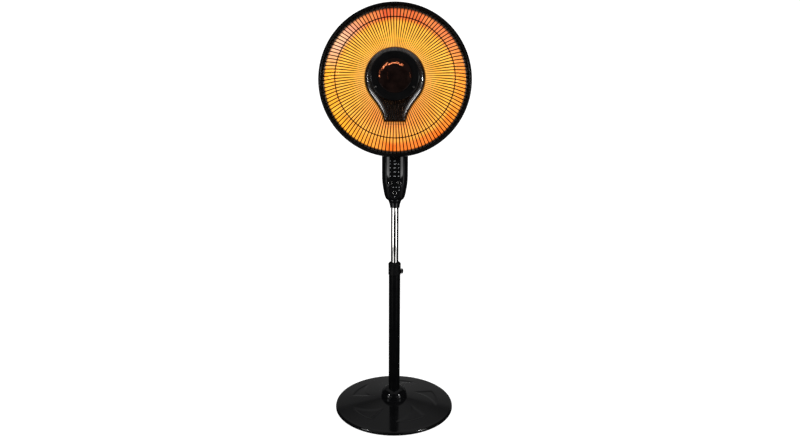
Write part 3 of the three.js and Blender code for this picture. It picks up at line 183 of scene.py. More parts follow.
def through(knots, steps):
    """Smooth open curve through the knots."""
    ends = [Vector(k) for k in (knots[0], *knots, knots[-1])]
    curve = []
    for a, b, c, d in zip(ends, ends[1:], ends[2:], ends[3:]):
        for step in range(steps):
            t = step / steps
            bend, sway = 2 * a - 5 * b + 4 * c - d, 3 * b - a - 3 * c + d
            curve.append(tuple(0.5 * (2 * b + (c - a) * t + bend * t ** 2 + sway * t ** 3)))
    curve.append(tuple(knots[-1]))
    return curve


def turned(profile, sides, steps=4, lift=None, lobes=None):
    """Closed shape turned about Z from a looped profile of radius, height and rounding.

    lift(index, radius, angle) adds height, and lobes(angle) scales the radius.
    """
    corners, rows = [], []
    for index, (radius, height) in enumerate(soften(profile, steps)):
        if radius < 1e-6:
            rows.append([len(corners)])
            corners.append((0, 0, height))
            continue
        rows.append(range(len(corners), len(corners) + sides))
        for side in range(sides):
            angle = side / sides * TURN
            r = radius * lobes(angle) if lobes else radius
            z = height + (lift(index, radius, angle) if lift else 0)
            corners.append((r * math.cos(angle), r * math.sin(angle), z))
    faces = []
    for a, b in zip(rows, [*rows[1:], rows[0]]):
        for side in range(sides):
            after = (side + 1) % sides
            face = dict.fromkeys((a[side % len(a)], a[after % len(a)], b[after % len(b)], b[side % len(b)]))
            if len(face) > 2:
                faces.append(tuple(face))
    return corners, faces


def rod(radius, low, high, sides=48):
    """Plain cylinder about Z."""
    return turned([(0, low), (radius, low), (radius, high), (0, high)], sides)


def fluted(count, depth, power):
    """Lobes of a knob's grip."""
    return lambda angle: 1 - depth * (0.5 - 0.5 * math.cos(count * angle)) ** power


def stacked(rings, looped=False):
    """Skin over rings of equally many corners: capped at both ends, or looped back to the first ring."""
    count = len(rings[0])
    corners = [corner for ring in rings for corner in ring]
    faces = []
    for level in range(len(rings) if looped else len(rings) - 1):
        low, high = level * count, (level + 1) % len(rings) * count
        for i in range(count):
            j = (i + 1) % count
            faces.append((low + i, low + j, high + j, high + i))
    if not looped:
        faces.append(tuple(reversed(range(count))))
        faces.append(tuple(range((len(rings) - 1) * count, len(rings) * count)))
    return corners, faces


def tube(path, radius, sides, looped=False):
    """Round tube along a path, with its section carried along without twist."""
    points = [Vector(p) for p in path]
    count = len(points)
    turns = [k / sides * TURN for k in range(sides)]
    rings, normal = [], None
    for i, point in enumerate(points):
        before, after = (i - 1, (i + 1) % count) if looped else (max(i - 1, 0), min(i + 1, count - 1))
        along = (points[after] - points[before]).normalized()
        normal = along.orthogonal() if normal is None else normal - along * normal.dot(along)
        normal.normalize()
        across = along.cross(normal)
        width = radius(i / (count - 1)) if callable(radius) else radius
        rings.append([tuple(point + width * (math.cos(t) * normal + math.sin(t) * across)) for t in turns])
    return stacked(rings, looped)


def circle(radius, level, count):
    return [(radius * math.cos(i / count * TURN), radius * math.sin(i / count * TURN), level)
            for i in range(count)]


def hoop(radius, level, thickness, steps=160):
    """Ring of round wire about Z."""
    return tube(circle(radius, level, steps), thickness / 2, 8, looped=True)


def slab(low, high):
    """Box between two corners."""
    (a, b, c), (d, e, f) = low, high
    corners = [(a, b, c), (d, b, c), (d, e, c), (a, e, c), (a, b, f), (d, b, f), (d, e, f), (a, e, f)]
    return corners, [(0, 3, 2, 1), (4, 5, 6, 7), (0, 1, 5, 4), (1, 2, 6, 5), (2, 3, 7, 6), (3, 0, 4, 7)]


def prism(outline, low, high):
    """Straight piece between two heights from an outline of (x, y)."""
    return stacked([[(x, y, z) for x, y in outline] for z in (low, high)])


def placed(shape, matrix):
    return [tuple(matrix @ Vector(corner)) for corner in shape[0]], shape[1]


def together(*shapes):
    corners, faces = [], []
    for more, skins in shapes:
        faces += [tuple(i + len(corners) for i in face) for face in skins]
        corners += more
    return corners, faces


# ------------------------------------------------------------------ pieces
def loose(name, shape, place=None, merge=False):
    """Object that isn't part of the heater yet; merge joins corners that lie on one another."""
    corners, faces = placed(shape, place) if place else shape
    mesh = bpy.data.meshes.new(name)
    mesh.from_pydata([[c * MM for c in corner] for corner in corners], [], faces)
    work = bmesh.new()
    work.from_mesh(mesh)
    if merge:
        bmesh.ops.remove_doubles(work, verts=work.verts, dist=0.001 * MM)
    bmesh.ops.recalc_face_normals(work, faces=work.faces)
    work.to_mesh(mesh)
    work.free()
    thing = bpy.data.objects.new(name, mesh)
    bpy.context.scene.collection.objects.link(thing)
    return thing


def carve(thing, tools, mode="DIFFERENCE"):
    """Cuts, joins or keeps what is common with each tool, which is then removed."""
    for tool in tools:
        step = thing.modifiers.new("carve", "BOOLEAN")
        step.operation, step.object, step.solver = mode, tool, "EXACT"
    bpy.context.view_layer.update()
    graph = bpy.context.evaluated_depsgraph_get()
    mesh = bpy.data.meshes.new_from_object(thing.evaluated_get(graph))
    thing.modifiers.clear()
    thing.data = mesh
    for tool in tools:
        bpy.data.objects.remove(tool)
    if not mesh.polygons:
        raise RuntimeError(f"{thing.name} was cut away")


def ease_edges(thing, width, angle=35):
    """Small rounding on sharp edges, kept as a modifier."""
    step = thing.modifiers.new("edges", "BEVEL")
    step.width, step.segments = width * MM, 2
    step.limit_method, step.angle_limit = "ANGLE", math.radians(angle)


def coat(thing, look, angle):
    """Smooth shading up to an angle, and one finish."""
    thing.data.shade_smooth()
    thing.data.set_sharp_from_angle(angle=math.radians(angle))
    thing.data.materials.clear()
    thing.data.materials.append(finish(look))


def fit(thing, look, body, nodes=(), angle=35):
    """Finishes a loose object as a piece of the heater."""
    coat(thing, look, angle)
    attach(thing, body)
    if nodes:
        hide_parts(*nodes)
    return thing


def piece(name, shape, look, body, nodes=(), place=None, angle=35):
    return fit(loose(name, shape, place), look, body, nodes, angle)


def dress(look, *nodes, rounding):
    """Gives solids that keep their own shape a finish and softened edges."""
    for node in nodes:
        coat(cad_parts[node], look, 30)
        ease_edges(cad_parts[node], rounding)


def note_places(thing, name, places):
    """Keeps a place for each corner of a mesh, for its finish to read."""
    where = thing.data.attributes.new(name, "FLOAT_VECTOR", "POINT")
    for number, place in enumerate(places):
        where.data[number].vector = place


def cross_screw(name, profile, recess, place, look, body, node):
    """Screw with a cross of half length, half width and depth cut into its head."""
    screw = loose(name, turned(profile, 32), place)
    length, width, depth = recess
    top = profile[-1][1]
    carve(screw, [loose("cross", slab((-a, -b, top - depth), (a, b, top + 1)), place)
                  for a, b in ((length, width), (width, length))])
    fit(screw, look, body, [node])


# ------------------------------------------------------------------ finishes
def add_node(tree, kind, values=(), **settings):
    """Shader node whose inputs are given as numbers or as the sockets that feed them."""
    made = tree.nodes.new("ShaderNode" + kind)
    for name, value in settings.items():
        setattr(made, name, value)
    for key, value in dict(values).items():
        if isinstance(value, bpy.types.NodeSocket):
            tree.links.new(value, made.inputs[key])
        else:
            made.inputs[key].default_value = value
    return made


class Finish:
    """Principled surface whose colour, roughness and relief come from noise on the piece itself."""

    def __init__(self, name, metallic=0.0, specular=0.5, roughness=0.5):
        self.material = bpy.data.materials.new(name)
        self.material.use_nodes = True
        self.tree = self.material.node_tree
        self.shader = self.tree.nodes["Principled BSDF"]
        self.set({"Metallic": metallic, "Specular IOR Level": specular, "Roughness": roughness})
        self.place = self.node("TexCoord").outputs["Object"]
        self.relief = None

    def set(self, values):
        for socket, value in values.items():
            self.shader.inputs[socket].default_value = value

    def node(self, kind, values=(), **settings):
        return add_node(self.tree, kind, values, **settings)

    def link(self, source, socket):
        self.tree.links.new(source, self.shader.inputs[socket])

    def cloud(self, scale, detail=4.0, along=None):
        """Noise, drawn out along the axes whose share is small."""
        where = self.place
        if along:
            where = self.node("Mapping", {"Vector": where, "Scale": along}).outputs[0]
        values = {"Vector": where, "Scale": scale, "Detail": detail, "Roughness": 0.55}
        return self.node("TexNoise", values).outputs["Fac"]

    def between(self, share, low, high, start=0.3, end=0.7):
        """Value that goes from low to high as the share goes from start to end."""
        values = {"Value": share, "From Min": start, "From Max": end, "To Min": low, "To Max": high}
        return self.node("MapRange", values).outputs[0]

    def blend(self, share, first, second):
        """Mix of two colours, each a socket or three values."""
        tones = [tone if isinstance(tone, bpy.types.NodeSocket) else (*tone, 1) for tone in (first, second)]
        return self.node("Mix", {0: share, 6: tones[0], 7: tones[1]}, data_type="RGBA").outputs[2]

    def sums(self, operation, first, second=0.0):
        return self.node("Math", {0: first, 1: second}, operation=operation).outputs[0]

    def mottled(self, low, high, scale, along=None):
        """Base colour that drifts between two tones."""
        colour = self.blend(self.between(self.cloud(scale, along=along), 0, 1), low, high)
        self.link(colour, "Base Color")
        return colour

    def worn(self, colour, bare, amount=0.6, start=0.53, end=0.62):
        """Lighter tone on the outward edges."""
        edge = self.between(self.node("NewGeometry").outputs["Pointiness"], 0, amount, start, end)
        edge = self.sums("MULTIPLY", edge, self.between(self.cloud(120.0), 0.3, 1.0))
        self.link(self.blend(edge, colour, bare), "Base Color")

    def stained(self, colour, tint, scale, detail, amount, start, end):
        """Patches of dust, rust or heat."""
        patches = self.between(self.cloud(scale, detail), 0, amount, start, end)
        self.link(self.blend(patches, colour, tint), "Base Color")

    def uneven(self, low, high, scale, along=None):
        """Roughness that drifts between two values."""
        self.link(self.between(self.cloud(scale, along=along), low, high), "Roughness")

    def raised(self, height, strength, distance):
        """Relief, laid over what is there already."""
        bump = self.node("Bump", {"Height": height, "Strength": strength, "Distance": distance * MM})
        if self.relief:
            self.tree.links.new(self.relief, bump.inputs["Normal"])
        self.relief = bump.outputs[0]
        self.link(self.relief, "Normal")

    def specks(self, scale, size):
        """One where small scattered specks lie."""
        cells = self.node("TexVoronoi", {"Vector": self.place, "Scale": scale}).outputs["Distance"]
        return self.between(cells, 1, 0, size * 0.5, size)

    def polar(self, attribute):
        """Place, radius and angle from the places kept on a mesh."""
        place = self.node("Attribute", attribute_name=attribute).outputs["Vector"]
        parts = self.node("SeparateXYZ", {0: place}).outputs
        radius = self.node("VectorMath", {0: place}, operation="LENGTH").outputs["Value"]
        return place, radius, self.sums("ARCTAN2", parts["Y"], parts["X"])

    def facing(self, angle, heading, start, end):
        """Share that rises to one as the cosine of the turn away from a heading goes from start to end."""
        return self.between(self.sums("COSINE", self.sums("SUBTRACT", angle, heading)), 0, 1, start, end)


FINISHES = {}


def finish(name):
    """The material of that name, made the first time that it is asked for."""
    if name not in FINISHES:
        maker, values = FINISH_MAKERS[name]
        FINISHES[name] = maker(name, **values).material
    return FINISHES[name]


def plain(name, tones, rough, relief, wear=None, stain=None, sockets=None, metallic=0.0, specular=0.5):
    """Finish with drifting tone and roughness and fine relief, and with wear or stains where it has them."""
    made = Finish(name, metallic, specular)
    colour = made.mottled(*tones)
    if wear:
        made.worn(colour, *wear)
    if stain:
        made.stained(colour, *stain)
    made.uneven(*rough)
    strength, distance, *cloud = relief
    made.raised(made.cloud(*cloud), strength, distance)
    made.set(sockets or {})
    return made


def polished_black(name, low=0.07, high=0.16, specular=0.05, tone=1.0):
    made = Finish(name, specular=specular)
    base = Vector(colours().gloss) * tone
    colour = made.mottled(base, base * 1.7, 14.0)
    colour = made.blend(made.specks(700.0, 0.06), colour, (0.012, 0.012, 0.012))
    made.worn(colour, (0.012, 0.012, 0.013), 0.5)
    made.uneven(low, high, 30.0)
    made.raised(made.cloud(260.0, 2.0), 0.05, 0.2)
    return made


def grained_black(name, grain=1500.0, depth=0.25, low=0.38, high=0.55, specular=0.05, tone=1.0):
    base = Vector(colours().satin) * tone
    return plain(name, (base, base * 1.8, 24.0), (low, high, 60.0), (0.25, depth, grain, 3.0),
                 wear=((0.014, 0.014, 0.015), 0.6), specular=specular)


def guard_plating(name):
    """Guard wire: dark plate with a warm heat tint."""
    wire = Vector(colours().wire)
    return plain(name, (wire * 0.7, wire * 1.5, 60.0), (0.22, 0.4, 300.0), (0.15, 0.05, 1800.0, 3.0),
                 stain=((0.024, 0.008, 0.003), 24.0, 3.0, 0.6, 0.45, 0.7), metallic=1.0)


def green_board(name):
    """Printed board: tracks in rows and small soldered pads."""
    made = Finish(name)
    tracks = made.node("TexBrick", {
        "Vector": made.place, "Scale": 160.0, "Mortar Size": 0.05, "Color1": (0.02, 0.13, 0.05, 1),
        "Color2": (0.025, 0.16, 0.06, 1), "Mortar": (0.05, 0.26, 0.10, 1)}).outputs["Color"]
    pads = made.specks(420.0, 0.22)
    made.link(made.blend(pads, tracks, (0.55, 0.52, 0.45)), "Base Color")
    made.uneven(0.3, 0.5, 200.0)
    made.raised(pads, 0.4, 0.15)
    return made


def dish_glow(name):
    """Dish whose glow is painted on as emission, standing in for the lamp's light that it throws back: paler
    round the hood, amber, then orange at the edge.
    """
    made = Finish(name, metallic=1.0)
    place, radius, angle = made.polar("dish_place")
    inner, middle, outer = colours().painted_glow_inner, colours().painted_glow_middle, colours().painted_glow_outer
    # Radius is in shares of the dish's own radius.
    colour = made.blend(made.between(radius, 0, 1, 0.42, 0.62), inner, middle)
    colour = made.blend(made.between(radius, 0, 1, 0.80, 0.90), colour, outer)
    edge = made.between(radius, 0, 1, 0.84, 0.89)
    near = made.between(radius, 1, 0, 0.6, 1.0)
    # Lobes of painted reflection in another tint: clock hour, width in degrees, amount, tint and the band
    # that each lies in.
    for clock, width, amount, tint, band in (
        (8.4, 66, 0.9, (0.98, 0.41, 0.02), edge),
        (3.3, 40, 0.5, (0.95, 0.27, 0.02), edge),
        (12.1, 62, 1.0, (0.70, 0.075, 0.03), edge),
        (10.2, 27, 0.9, (0.86, 0.45, 0.32), edge),
        (11.0, 22, 0.4, (0.85, 0.22, 0.11), edge),
        (1.7, 34, 0.8, (0.80, 0.17, 0.07), edge),
        (5.3, 48, 0.85, (0.86, 0.10, 0.006), edge),
        (6.0, 64, 0.8, (0.90, 0.20, 0.06), near),
        (4.4, 50, 0.45, (0.95, 0.27, 0.03), near),
        (7.6, 40, 0.3, (0.95, 0.32, 0.03), near),
    ):
        lobe = made.facing(angle, math.radians(90 - 30 * clock), math.cos(math.radians(width)), 1)
        share = made.sums("MULTIPLY", made.sums("MULTIPLY", lobe, band), amount)
        colour = made.blend(share, colour, tint)
    # Spun sheet: fine drawn lines round the axis and soft dents, as relief; the dents also paint brighter
    # patches into the painted glow.
    dents = made.cloud(26.0, 3.0)
    colour = made.blend(made.between(dents, 0, 0.25, 0.35, 0.75), colour, (1.0, 0.62, 0.12))
    made.link(colour, "Emission Color")
    metal = made.blend(made.between(made.cloud(70.0), 0, 1), (0.09, 0.04, 0.012), (0.06, 0.024, 0.007))
    made.link(made.blend(made.between(radius, 0, 1, 0.985, 1.0), metal, (0.16, 0.14, 0.125)), "Base Color")
    # Painted glow strength: it fades out at the flange, is weaker toward the middle and drifts unevenly.
    painted_glow = made.between(radius, 1.0, 0.0, 0.972, 0.992)
    painted_glow = made.sums("MULTIPLY", painted_glow, made.between(radius, 0.86, 1.0, 0.46, 0.64))
    made.link(made.sums("MULTIPLY", painted_glow, made.between(made.cloud(40.0), 1.2, 1.52)), "Emission Strength")
    made.uneven(0.3, 0.45, 50.0)
    lines = made.node("TexWave", {"Vector": place, "Scale": 22.0, "Distortion": 0.4, "Detail": 1.0},
                      wave_type="RINGS", rings_direction="SPHERICAL")
    made.raised(lines.outputs["Fac"], 0.12, 0.08)
    made.raised(dents, 0.15, 1.2)
    return made


def lit_filament(name):
    made = Finish(name)
    made.mottled((0.9, 0.4, 0.12), (1.0, 0.55, 0.2), 300.0)
    heat = made.blend(made.between(made.cloud(220.0), 0, 1), (1.0, 0.16, 0.02), (1.0, 0.34, 0.07))
    made.link(heat, "Emission Color")
    made.link(made.between(made.cloud(160.0), 3.0, 7.0), "Emission Strength")
    made.raised(made.cloud(900.0), 0.2, 0.1)
    return made


def smoked_glass(name):
    """Smoked lens over the lamp, with broken orange and red arcs painted on it as glow where the lamp would
    show through.
    """
    made = plain(name, ((0.0022, 0.0013, 0.0012), (0.0075, 0.0038, 0.0032), 60.0), (0.03, 0.09, 70.0),
                 (0.04, 0.15, 240.0), specular=0.06)
    place, length, angle = made.polar("lens_place")
    wobble = made.node("TexNoise", {"Vector": place, "Scale": 5.0, "Detail": 4.0}).outputs["Fac"]
    radius = made.sums("ADD", length, made.between(wobble, -0.05, 0.05))
    painted_glow = None
    # Painted arcs of lamp glow: radius, width, start and end in degrees, and power.
    for reach, width, start, end, power in (
        (0.72, 0.055, 48, 132, 1.0), (0.81, 0.055, 118, 160, 1.0), (0.91, 0.034, 158, 190, 0.8),
        (0.88, 0.02, -8, 14, 0.1), (0.45, 0.02, 150, 215, 0.05),
    ):
        away = made.sums("ABSOLUTE", made.sums("SUBTRACT", radius, reach))
        band = made.between(away, power, 0, width * 0.4, width)
        middle, half = math.radians((start + end) / 2), math.radians((end - start) / 2)
        share = made.sums("MULTIPLY", band, made.facing(angle, middle, math.cos(half), math.cos(half * 0.75)))
        painted_glow = made.sums("MAXIMUM", painted_glow, share) if painted_glow else share
    # Painted glow broken into patches, from deep red to orange; heat here is only this painted mask.
    broken = made.node("TexNoise", {"Vector": place, "Scale": 13.0, "Detail": 3.0}).outputs["Fac"]
    heat = made.between(broken, 0.0, 1.0, 0.42, 0.57)
    made.link(made.blend(heat, (0.7, 0.02, 0.003), (1.0, 0.34, 0.14)), "Emission Color")
    made.link(made.sums("MULTIPLY", made.sums("MULTIPLY", painted_glow, heat), 1.8), "Emission Strength")
    return made


# In each plain finish, tones are two colours and a scale, rough is two values and a scale, and relief is
# strength, depth in millimetres, scale and detail. A last triple in any of them draws its noise out.
# Wear is the bare tone and its amount, and where the edges start and end. A stain is its tint, scale,
# detail and amount, and where its patches start and end.
FINISH_MAKERS = {
    "polished_black": (polished_black, {}),
    "panel_black": (polished_black, dict(low=0.05, high=0.1, specular=0.8)),
    "bright_black": (polished_black, dict(low=0.05, high=0.09, specular=0.5)),
    "dome_black": (polished_black, dict(low=0.03, high=0.05, specular=0.16)),
    "base_black": (polished_black, dict(low=0.09, high=0.14, specular=0.26)),
    # Rear case half: the same black as the front, painted four times lighter so that the back reads in the
    # dim light behind it.
    "rear_black": (polished_black, dict(low=0.12, high=0.22, specular=0.35, tone=4.0)),
    "grained_black": (grained_black, {}),
    "rim_black": (grained_black, dict(grain=900.0, depth=0.1, low=0.18, high=0.28, specular=0.045)),
    # Rear cover and neck: painted six and five times lighter than the satin black, so that they read in the
    # dim light behind the heater.
    "cover_black": (grained_black, dict(grain=1100.0, depth=0.4, low=0.4, specular=0.5, tone=6.0)),
    "neck_black": (grained_black, dict(low=0.35, high=0.5, specular=0.45, tone=5.0)),
    "hood_black": (plain, dict(  # baked enamel
        tones=((0.0025, 0.002, 0.0018), (0.005, 0.004, 0.0038), 18.0), rough=(0.15, 0.2, 34.0),
        relief=(0.03, 0.05, 200.0, 2.0), wear=((0.016, 0.014, 0.013), 0.5), specular=0.6,
        sockets={"Coat Weight": 1.0, "Coat IOR": 2.2, "Coat Roughness": 0.12})),
    "powder_coat": (plain, dict(  # on steel tube
        tones=((0.001, 0.001, 0.0011), (0.0022, 0.0022, 0.0024), 30.0), rough=(0.2, 0.34, 45.0),
        relief=(0.22, 0.12, 1400.0, 2.0), wear=((0.016, 0.016, 0.017), 0.4, 0.55, 0.66), specular=0.03)),
    "bright_chrome": (plain, dict(
        tones=((0.72, 0.71, 0.69), (0.82, 0.81, 0.79), 22.0, (1, 1, 0.12)),
        rough=(0.04, 0.11, 60.0, (1, 1, 0.05)), relief=(0.01, 0.015, 300.0, 2.0, (1, 1, 0.08)),
        metallic=1.0)),
    "zinc_steel": (plain, dict(
        tones=((0.42, 0.42, 0.40), (0.62, 0.61, 0.58), 90.0), rough=(0.25, 0.45, 140.0),
        relief=(0.15, 0.1, 900.0, 4.0), stain=((0.35, 0.31, 0.22), 320.0, 6.0, 0.5, 0.55, 0.75),
        metallic=1.0)),
    "blackened_steel": (plain, dict(
        tones=((0.035, 0.034, 0.034), (0.07, 0.068, 0.066), 400.0), rough=(0.3, 0.5, 500.0),
        relief=(0.2, 0.05, 1800.0, 3.0), wear=((0.25, 0.24, 0.23), 0.6), metallic=1.0)),
    "brushed_motor": (plain, dict(  # lines run along the rolling
        tones=((0.45, 0.45, 0.44), (0.6, 0.6, 0.58), 700.0, (1, 0.03, 1)),
        rough=(0.3, 0.45, 400.0, (1, 0.05, 1)), relief=(0.2, 0.05, 1600.0, 2.0, (1, 0.02, 1)), metallic=1.0)),
    "natural_nylon": (plain, dict(
        tones=((0.66, 0.63, 0.55), (0.76, 0.73, 0.66), 120.0), rough=(0.42, 0.58, 200.0),
        relief=(0.15, 0.06, 1500.0, 2.0),
        sockets={"Subsurface Weight": 0.15, "Subsurface Radius": (0.002, 0.0018, 0.0014)})),
    "black_rubber": (plain, dict(
        tones=((0.012, 0.012, 0.012), (0.024, 0.023, 0.022), 160.0), rough=(0.7, 0.92, 240.0),
        relief=(0.35, 0.12, 2400.0, 3.0), stain=((0.09, 0.085, 0.08), 480.0, 6.0, 0.35, 0.58, 0.75),
        specular=0.3)),
    "rough_iron": (plain, dict(
        tones=((0.045, 0.042, 0.04), (0.11, 0.105, 0.10), 200.0), rough=(0.65, 0.9, 300.0),
        relief=(0.6, 0.5, 700.0, 5.0), stain=((0.16, 0.065, 0.025), 90.0, 6.0, 0.6, 0.6, 0.78),
        metallic=0.7)),
    "lamp_ceramic": (plain, dict(
        tones=((0.72, 0.68, 0.60), (0.84, 0.81, 0.75), 220.0), rough=(0.5, 0.75, 300.0),
        relief=(0.3, 0.1, 1300.0, 4.0), stain=((0.45, 0.33, 0.2), 180.0, 5.0, 0.5, 0.56, 0.76))),
    "pale_case": (plain, dict(
        tones=((0.5, 0.51, 0.52), (0.62, 0.63, 0.64), 200.0), rough=(0.4, 0.55, 260.0),
        relief=(0.2, 0.08, 1400.0, 2.0))),
    "panel_print": (plain, dict(  # ink of the panel's plain marks
        tones=((0.20, 0.21, 0.22), (0.34, 0.35, 0.36), 300.0), rough=(0.3, 0.5, 500.0),
        relief=(0.2, 0.05, 2600.0, 2.0))),
    "quartz": (plain, dict(
        tones=((0.9, 0.75, 0.6), (1.0, 0.85, 0.7), 120.0), rough=(0.03, 0.09, 80.0),
        relief=(0.05, 0.1, 200.0), sockets={"Alpha": 0.25})),
    "green_board": (green_board, {}),
    "guard_plating": (guard_plating, {}),
    "dish_glow": (dish_glow, {}),
    "lit_filament": (lit_filament, {}),
    "smoked_glass": (smoked_glass, {}),
}


# ------------------------------------------------------------------ base and pole
PETALS = 5
PETAL_EDGE = math.radians(30.0)  # heading of one petal's straight edge
PETAL_INNER, PETAL_OUTER = 65, 134
PETAL_SWEEP = 45.0
PETAL_FLANK = 7.5  # width of the pressed slope


def petal_press(radius, angle):
    """Share of the press depth: each petal lies between a straight edge, a spiral edge and an outer arc."""
    lean = math.radians(3.5) * (radius - 80) / 50  # the straight edge turns 3.5 degrees in 50 mm
    swept = math.degrees((PETAL_EDGE - lean - angle) % (TURN / PETALS))
    spiral = PETAL_INNER + (PETAL_OUTER - PETAL_INNER) * (swept / PETAL_SWEEP) ** 0.9
    inward = min(math.radians(swept) * radius, (radius - spiral) * 0.85, PETAL_OUTER - radius)
    share = max(0.0, min(1.0, inward / PETAL_FLANK))
    return share * share * (3 - 2 * share)


class HEATER_OT_base(bpy.types.Operator):
    """Pressed round base with its pinwheel, bottom pan, weight and feet"""

    bl_idname = "heater.base"
    bl_label = "Base"

    def execute(self, context):
        crown, steps = [(BASE_BORE, BASE_CROWN), (DOME_RADIUS, BASE_CROWN)], 58
        for share in (i / steps for i in range(1, steps + 1)):
            crown.append((DOME_RADIUS + (BASE_SHOULDER - DOME_RADIUS) * share,
                          BASE_CROWN - (BASE_CROWN - BASE_RIM) * share))
        edge, inner, under = BASE_RADIUS, BASE_RADIUS - BASE_SHEET, BASE_CROWN - BASE_SHEET
        rim = [(edge - 1.7, 10.4, 2.6), (edge, 5.5, 3), (edge, 2, 0.6), (inner, 2, 0.6), (inner, 6, 2),
               (BASE_SHOULDER, 9.7), (DOME_RADIUS, under), (BASE_BORE, under)]
        depth = sizes().petal_depth / MM

        def press(index, radius, angle):
            return -depth * petal_press(radius, angle) if index < len(crown) else 0

        sides = sizes().roundness + 48  # finer than the other pieces, for the pinwheel's edges
        piece("base_pressing", turned(crown + rim, sides, lift=press), "base_black", "stand",
              ["base_plate"])
        pad = [(0, 0.5), (3.2, 0.5, 0.4), (4, 0, 0.3), (8.2, 0, 0.6), (9, 1, 0.6), (9, 2.4, 0.4), (0, 2.4)]
        for number in range(1, 6):
            low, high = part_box(f"foot_{number}")
            middle = (low + high) / 2 / MM
            piece(f"rubber_foot_{number}", turned(pad, 48), "black_rubber", "stand",
                  [f"foot_{number}"], Matrix.Translation((middle.x, middle.y, 0)))
        dress("grained_black", "base_pan", rounding=0.4)
        dress("rough_iron", "base_weight", rounding=0.6)
        dress("zinc_steel", "pole_socket", *(f"socket_bolt_{i}" for i in (1, 2, 3)), rounding=0.3)
        return {"FINISHED"}


class HEATER_OT_dome(bpy.types.Operator):
    """Domed cover where the pole enters the base"""

    bl_idname = "heater.dome"
    bl_label = "Dome cover"

    def execute(self, context):
        outer, steps, height = [], 20, 30
        for turn in (i / steps * math.pi / 2 for i in range(steps + 1)):
            outer.append((DOME_NECK + (DOME_RADIUS - DOME_NECK) * math.cos(turn) ** 0.85,
                          DOME_FOOT + height * math.sin(turn) ** 0.95))
        inner = [(DOME_NECK + (r - DOME_NECK) * 0.9, DOME_FOOT + (z - DOME_FOOT) * 0.92)
                 for r, z in reversed(outer)]
        inner[0] = (DOME_NECK, DOME_FOOT + 27.4)
        inner[-1] = (DOME_RADIUS - 2, DOME_FOOT)
        piece("dome_shell", turned(outer + inner, 128), "dome_black", "stand", ["dome_cover"])
        return {"FINISHED"}


class HEATER_OT_pole(bpy.types.Operator):
    """Fixed tube, collar with its lock knob, and the chrome tube that slides"""

    bl_idname = "heater.pole"
    bl_label = "Telescopic pole"

    def execute(self, context):
        bore = OUTER_TUBE - TUBE_WALL
        tall = [(bore, 32.6), (OUTER_TUBE, 32.6, 0.3), (OUTER_TUBE, 447, 0.5), (bore, 447, 0.5)]
        piece("pole_outer_tube", turned(tall, 96), "powder_coat", "stand", ["outer_pole"])
        bore = INNER_TUBE - TUBE_WALL
        chrome = [(bore, 206), (INNER_TUBE, 206, 0.4), (INNER_TUBE, 700, 0.4), (bore, 700)]
        piece("pole_inner_tube", turned(chrome, 96), "bright_chrome", "box", ["inner_pole"])
        sleeve = [(17.3, 415.3), (18.4, 415.3, 0.6), (18.4, 418.5, 0.3), (18.2, 419, 0.3), (18.2, 444.5, 0.3),
                  (18.5, 445, 0.3), (18.5, 448.4, 1.6), (14.8, 452.3, 1.4), (TUBE_BORE, 452.3, 0.5),
                  (TUBE_BORE, 447.3), (17.3, 447.3)]
        collar = loose("collar_sleeve", turned(sleeve, 96))
        across = Matrix.Translation((0, 0, LOCK_HEIGHT)) @ SIDEWAYS
        boss = turned([(0, 17.7), (7.4, 17.7), (7.4, 19.9, 0.5), (0, 19.9)], 48)
        carve(collar, [loose("boss", boss, across)], "UNION")
        fit(collar, "grained_black", "stand", ["pole_collar"])
        grip = [(3.3, 20.2), (8, 20.2, 0.4), (8, 22.6, 1.4), (6, 25, 1.6), (2.6, 25.8, 1), (0, 25.8),
                (0, 24.6), (3.3, 24.6)]
        piece("lock_grip", turned(grip, 96, lobes=fluted(8, 0.05, 2)), "grained_black", "lock",
              ["lock_knob"], across)
        dress("natural_nylon", "collar_bush", "pole_end_plug", rounding=0.3)
        dress("zinc_steel", "lock_screw", rounding=0.2)
        return {"FINISHED"}


# ------------------------------------------------------------------ control box
BOX_PROFILE = [  # height above the bottom, half width
    *through([(0, 21.4), (5, 26.4), (14, 29.8), (28, 32.8), (44, 35.5), (60, 36.9), (76, 37.3)], 4),
    (140.5, 37.3), (142.6, 37), (144.6, 36.3), (146, 35.3), (147, 33.9)]


def box_half(height):
    """Half width of the box at a height."""
    above = max(0.0, min(BOX_PROFILE[-1][0], height - BOX_BOTTOM))
    for (low, near), (high, far) in zip(BOX_PROFILE, BOX_PROFILE[1:]):
        if above <= high:
            return near + (far - near) * (above - low) / (high - low)


def box_ring(height, inset, points=96):
    half = box_half(height) - inset
    power = 2 / BOX_SQUARENESS
    ring = []
    for angle in (i / points * TURN for i in range(points)):
        c, s = math.cos(angle), math.sin(angle)
        ring.append((half * math.copysign(abs(c) ** power, c),
                     half * BOX_DEPTH_RATIO * math.copysign(abs(s) ** power, s), height))
    return ring


def box_solid(inset, low=BOX_BOTTOM, high=BOX_TOP):
    apart = 0.6  # least distance between two levels at the ends
    levels = [BOX_BOTTOM + above for above, _ in BOX_PROFILE]
    levels = [low, *(z for z in levels if low + apart < z < high - apart), high]
    return stacked([box_ring(z, inset) for z in levels])


def box_front(x, height):
    """Depth of the box's front face at a place on it."""
    half = box_half(height)
    return half * BOX_DEPTH_RATIO * (1 - (abs(x) / half) ** BOX_SQUARENESS) ** (1 / BOX_SQUARENESS)


def on_front(x, height):
    return Matrix.Translation((x, 0, height)) @ FACING


def on_back(x, height):
    return Matrix.Translation((x, 0, height)) @ BACKWARD


def button_drills():
    return [loose("drill", rod(BUTTON_HOLE, 0, CUT_REACH), on_front(x, z)) for x, z, _ in BUTTONS.values()]


def panel_outline(grow=0.0):
    """Panel edge: straight sides that sweep in to a narrow rounded foot."""
    half, foot = 22.5 + grow, 645 - grow
    right = [(half, 768 + grow), (half, 735), (half, 712)]
    right += through([(half, 705), (21 + grow, 686), (15.5 + grow, 664), (8, foot + 3), (0, foot)], 6)[:-1]
    left = [(-x, z) for x, z in reversed(right)]
    return right + [(0, foot)] + left


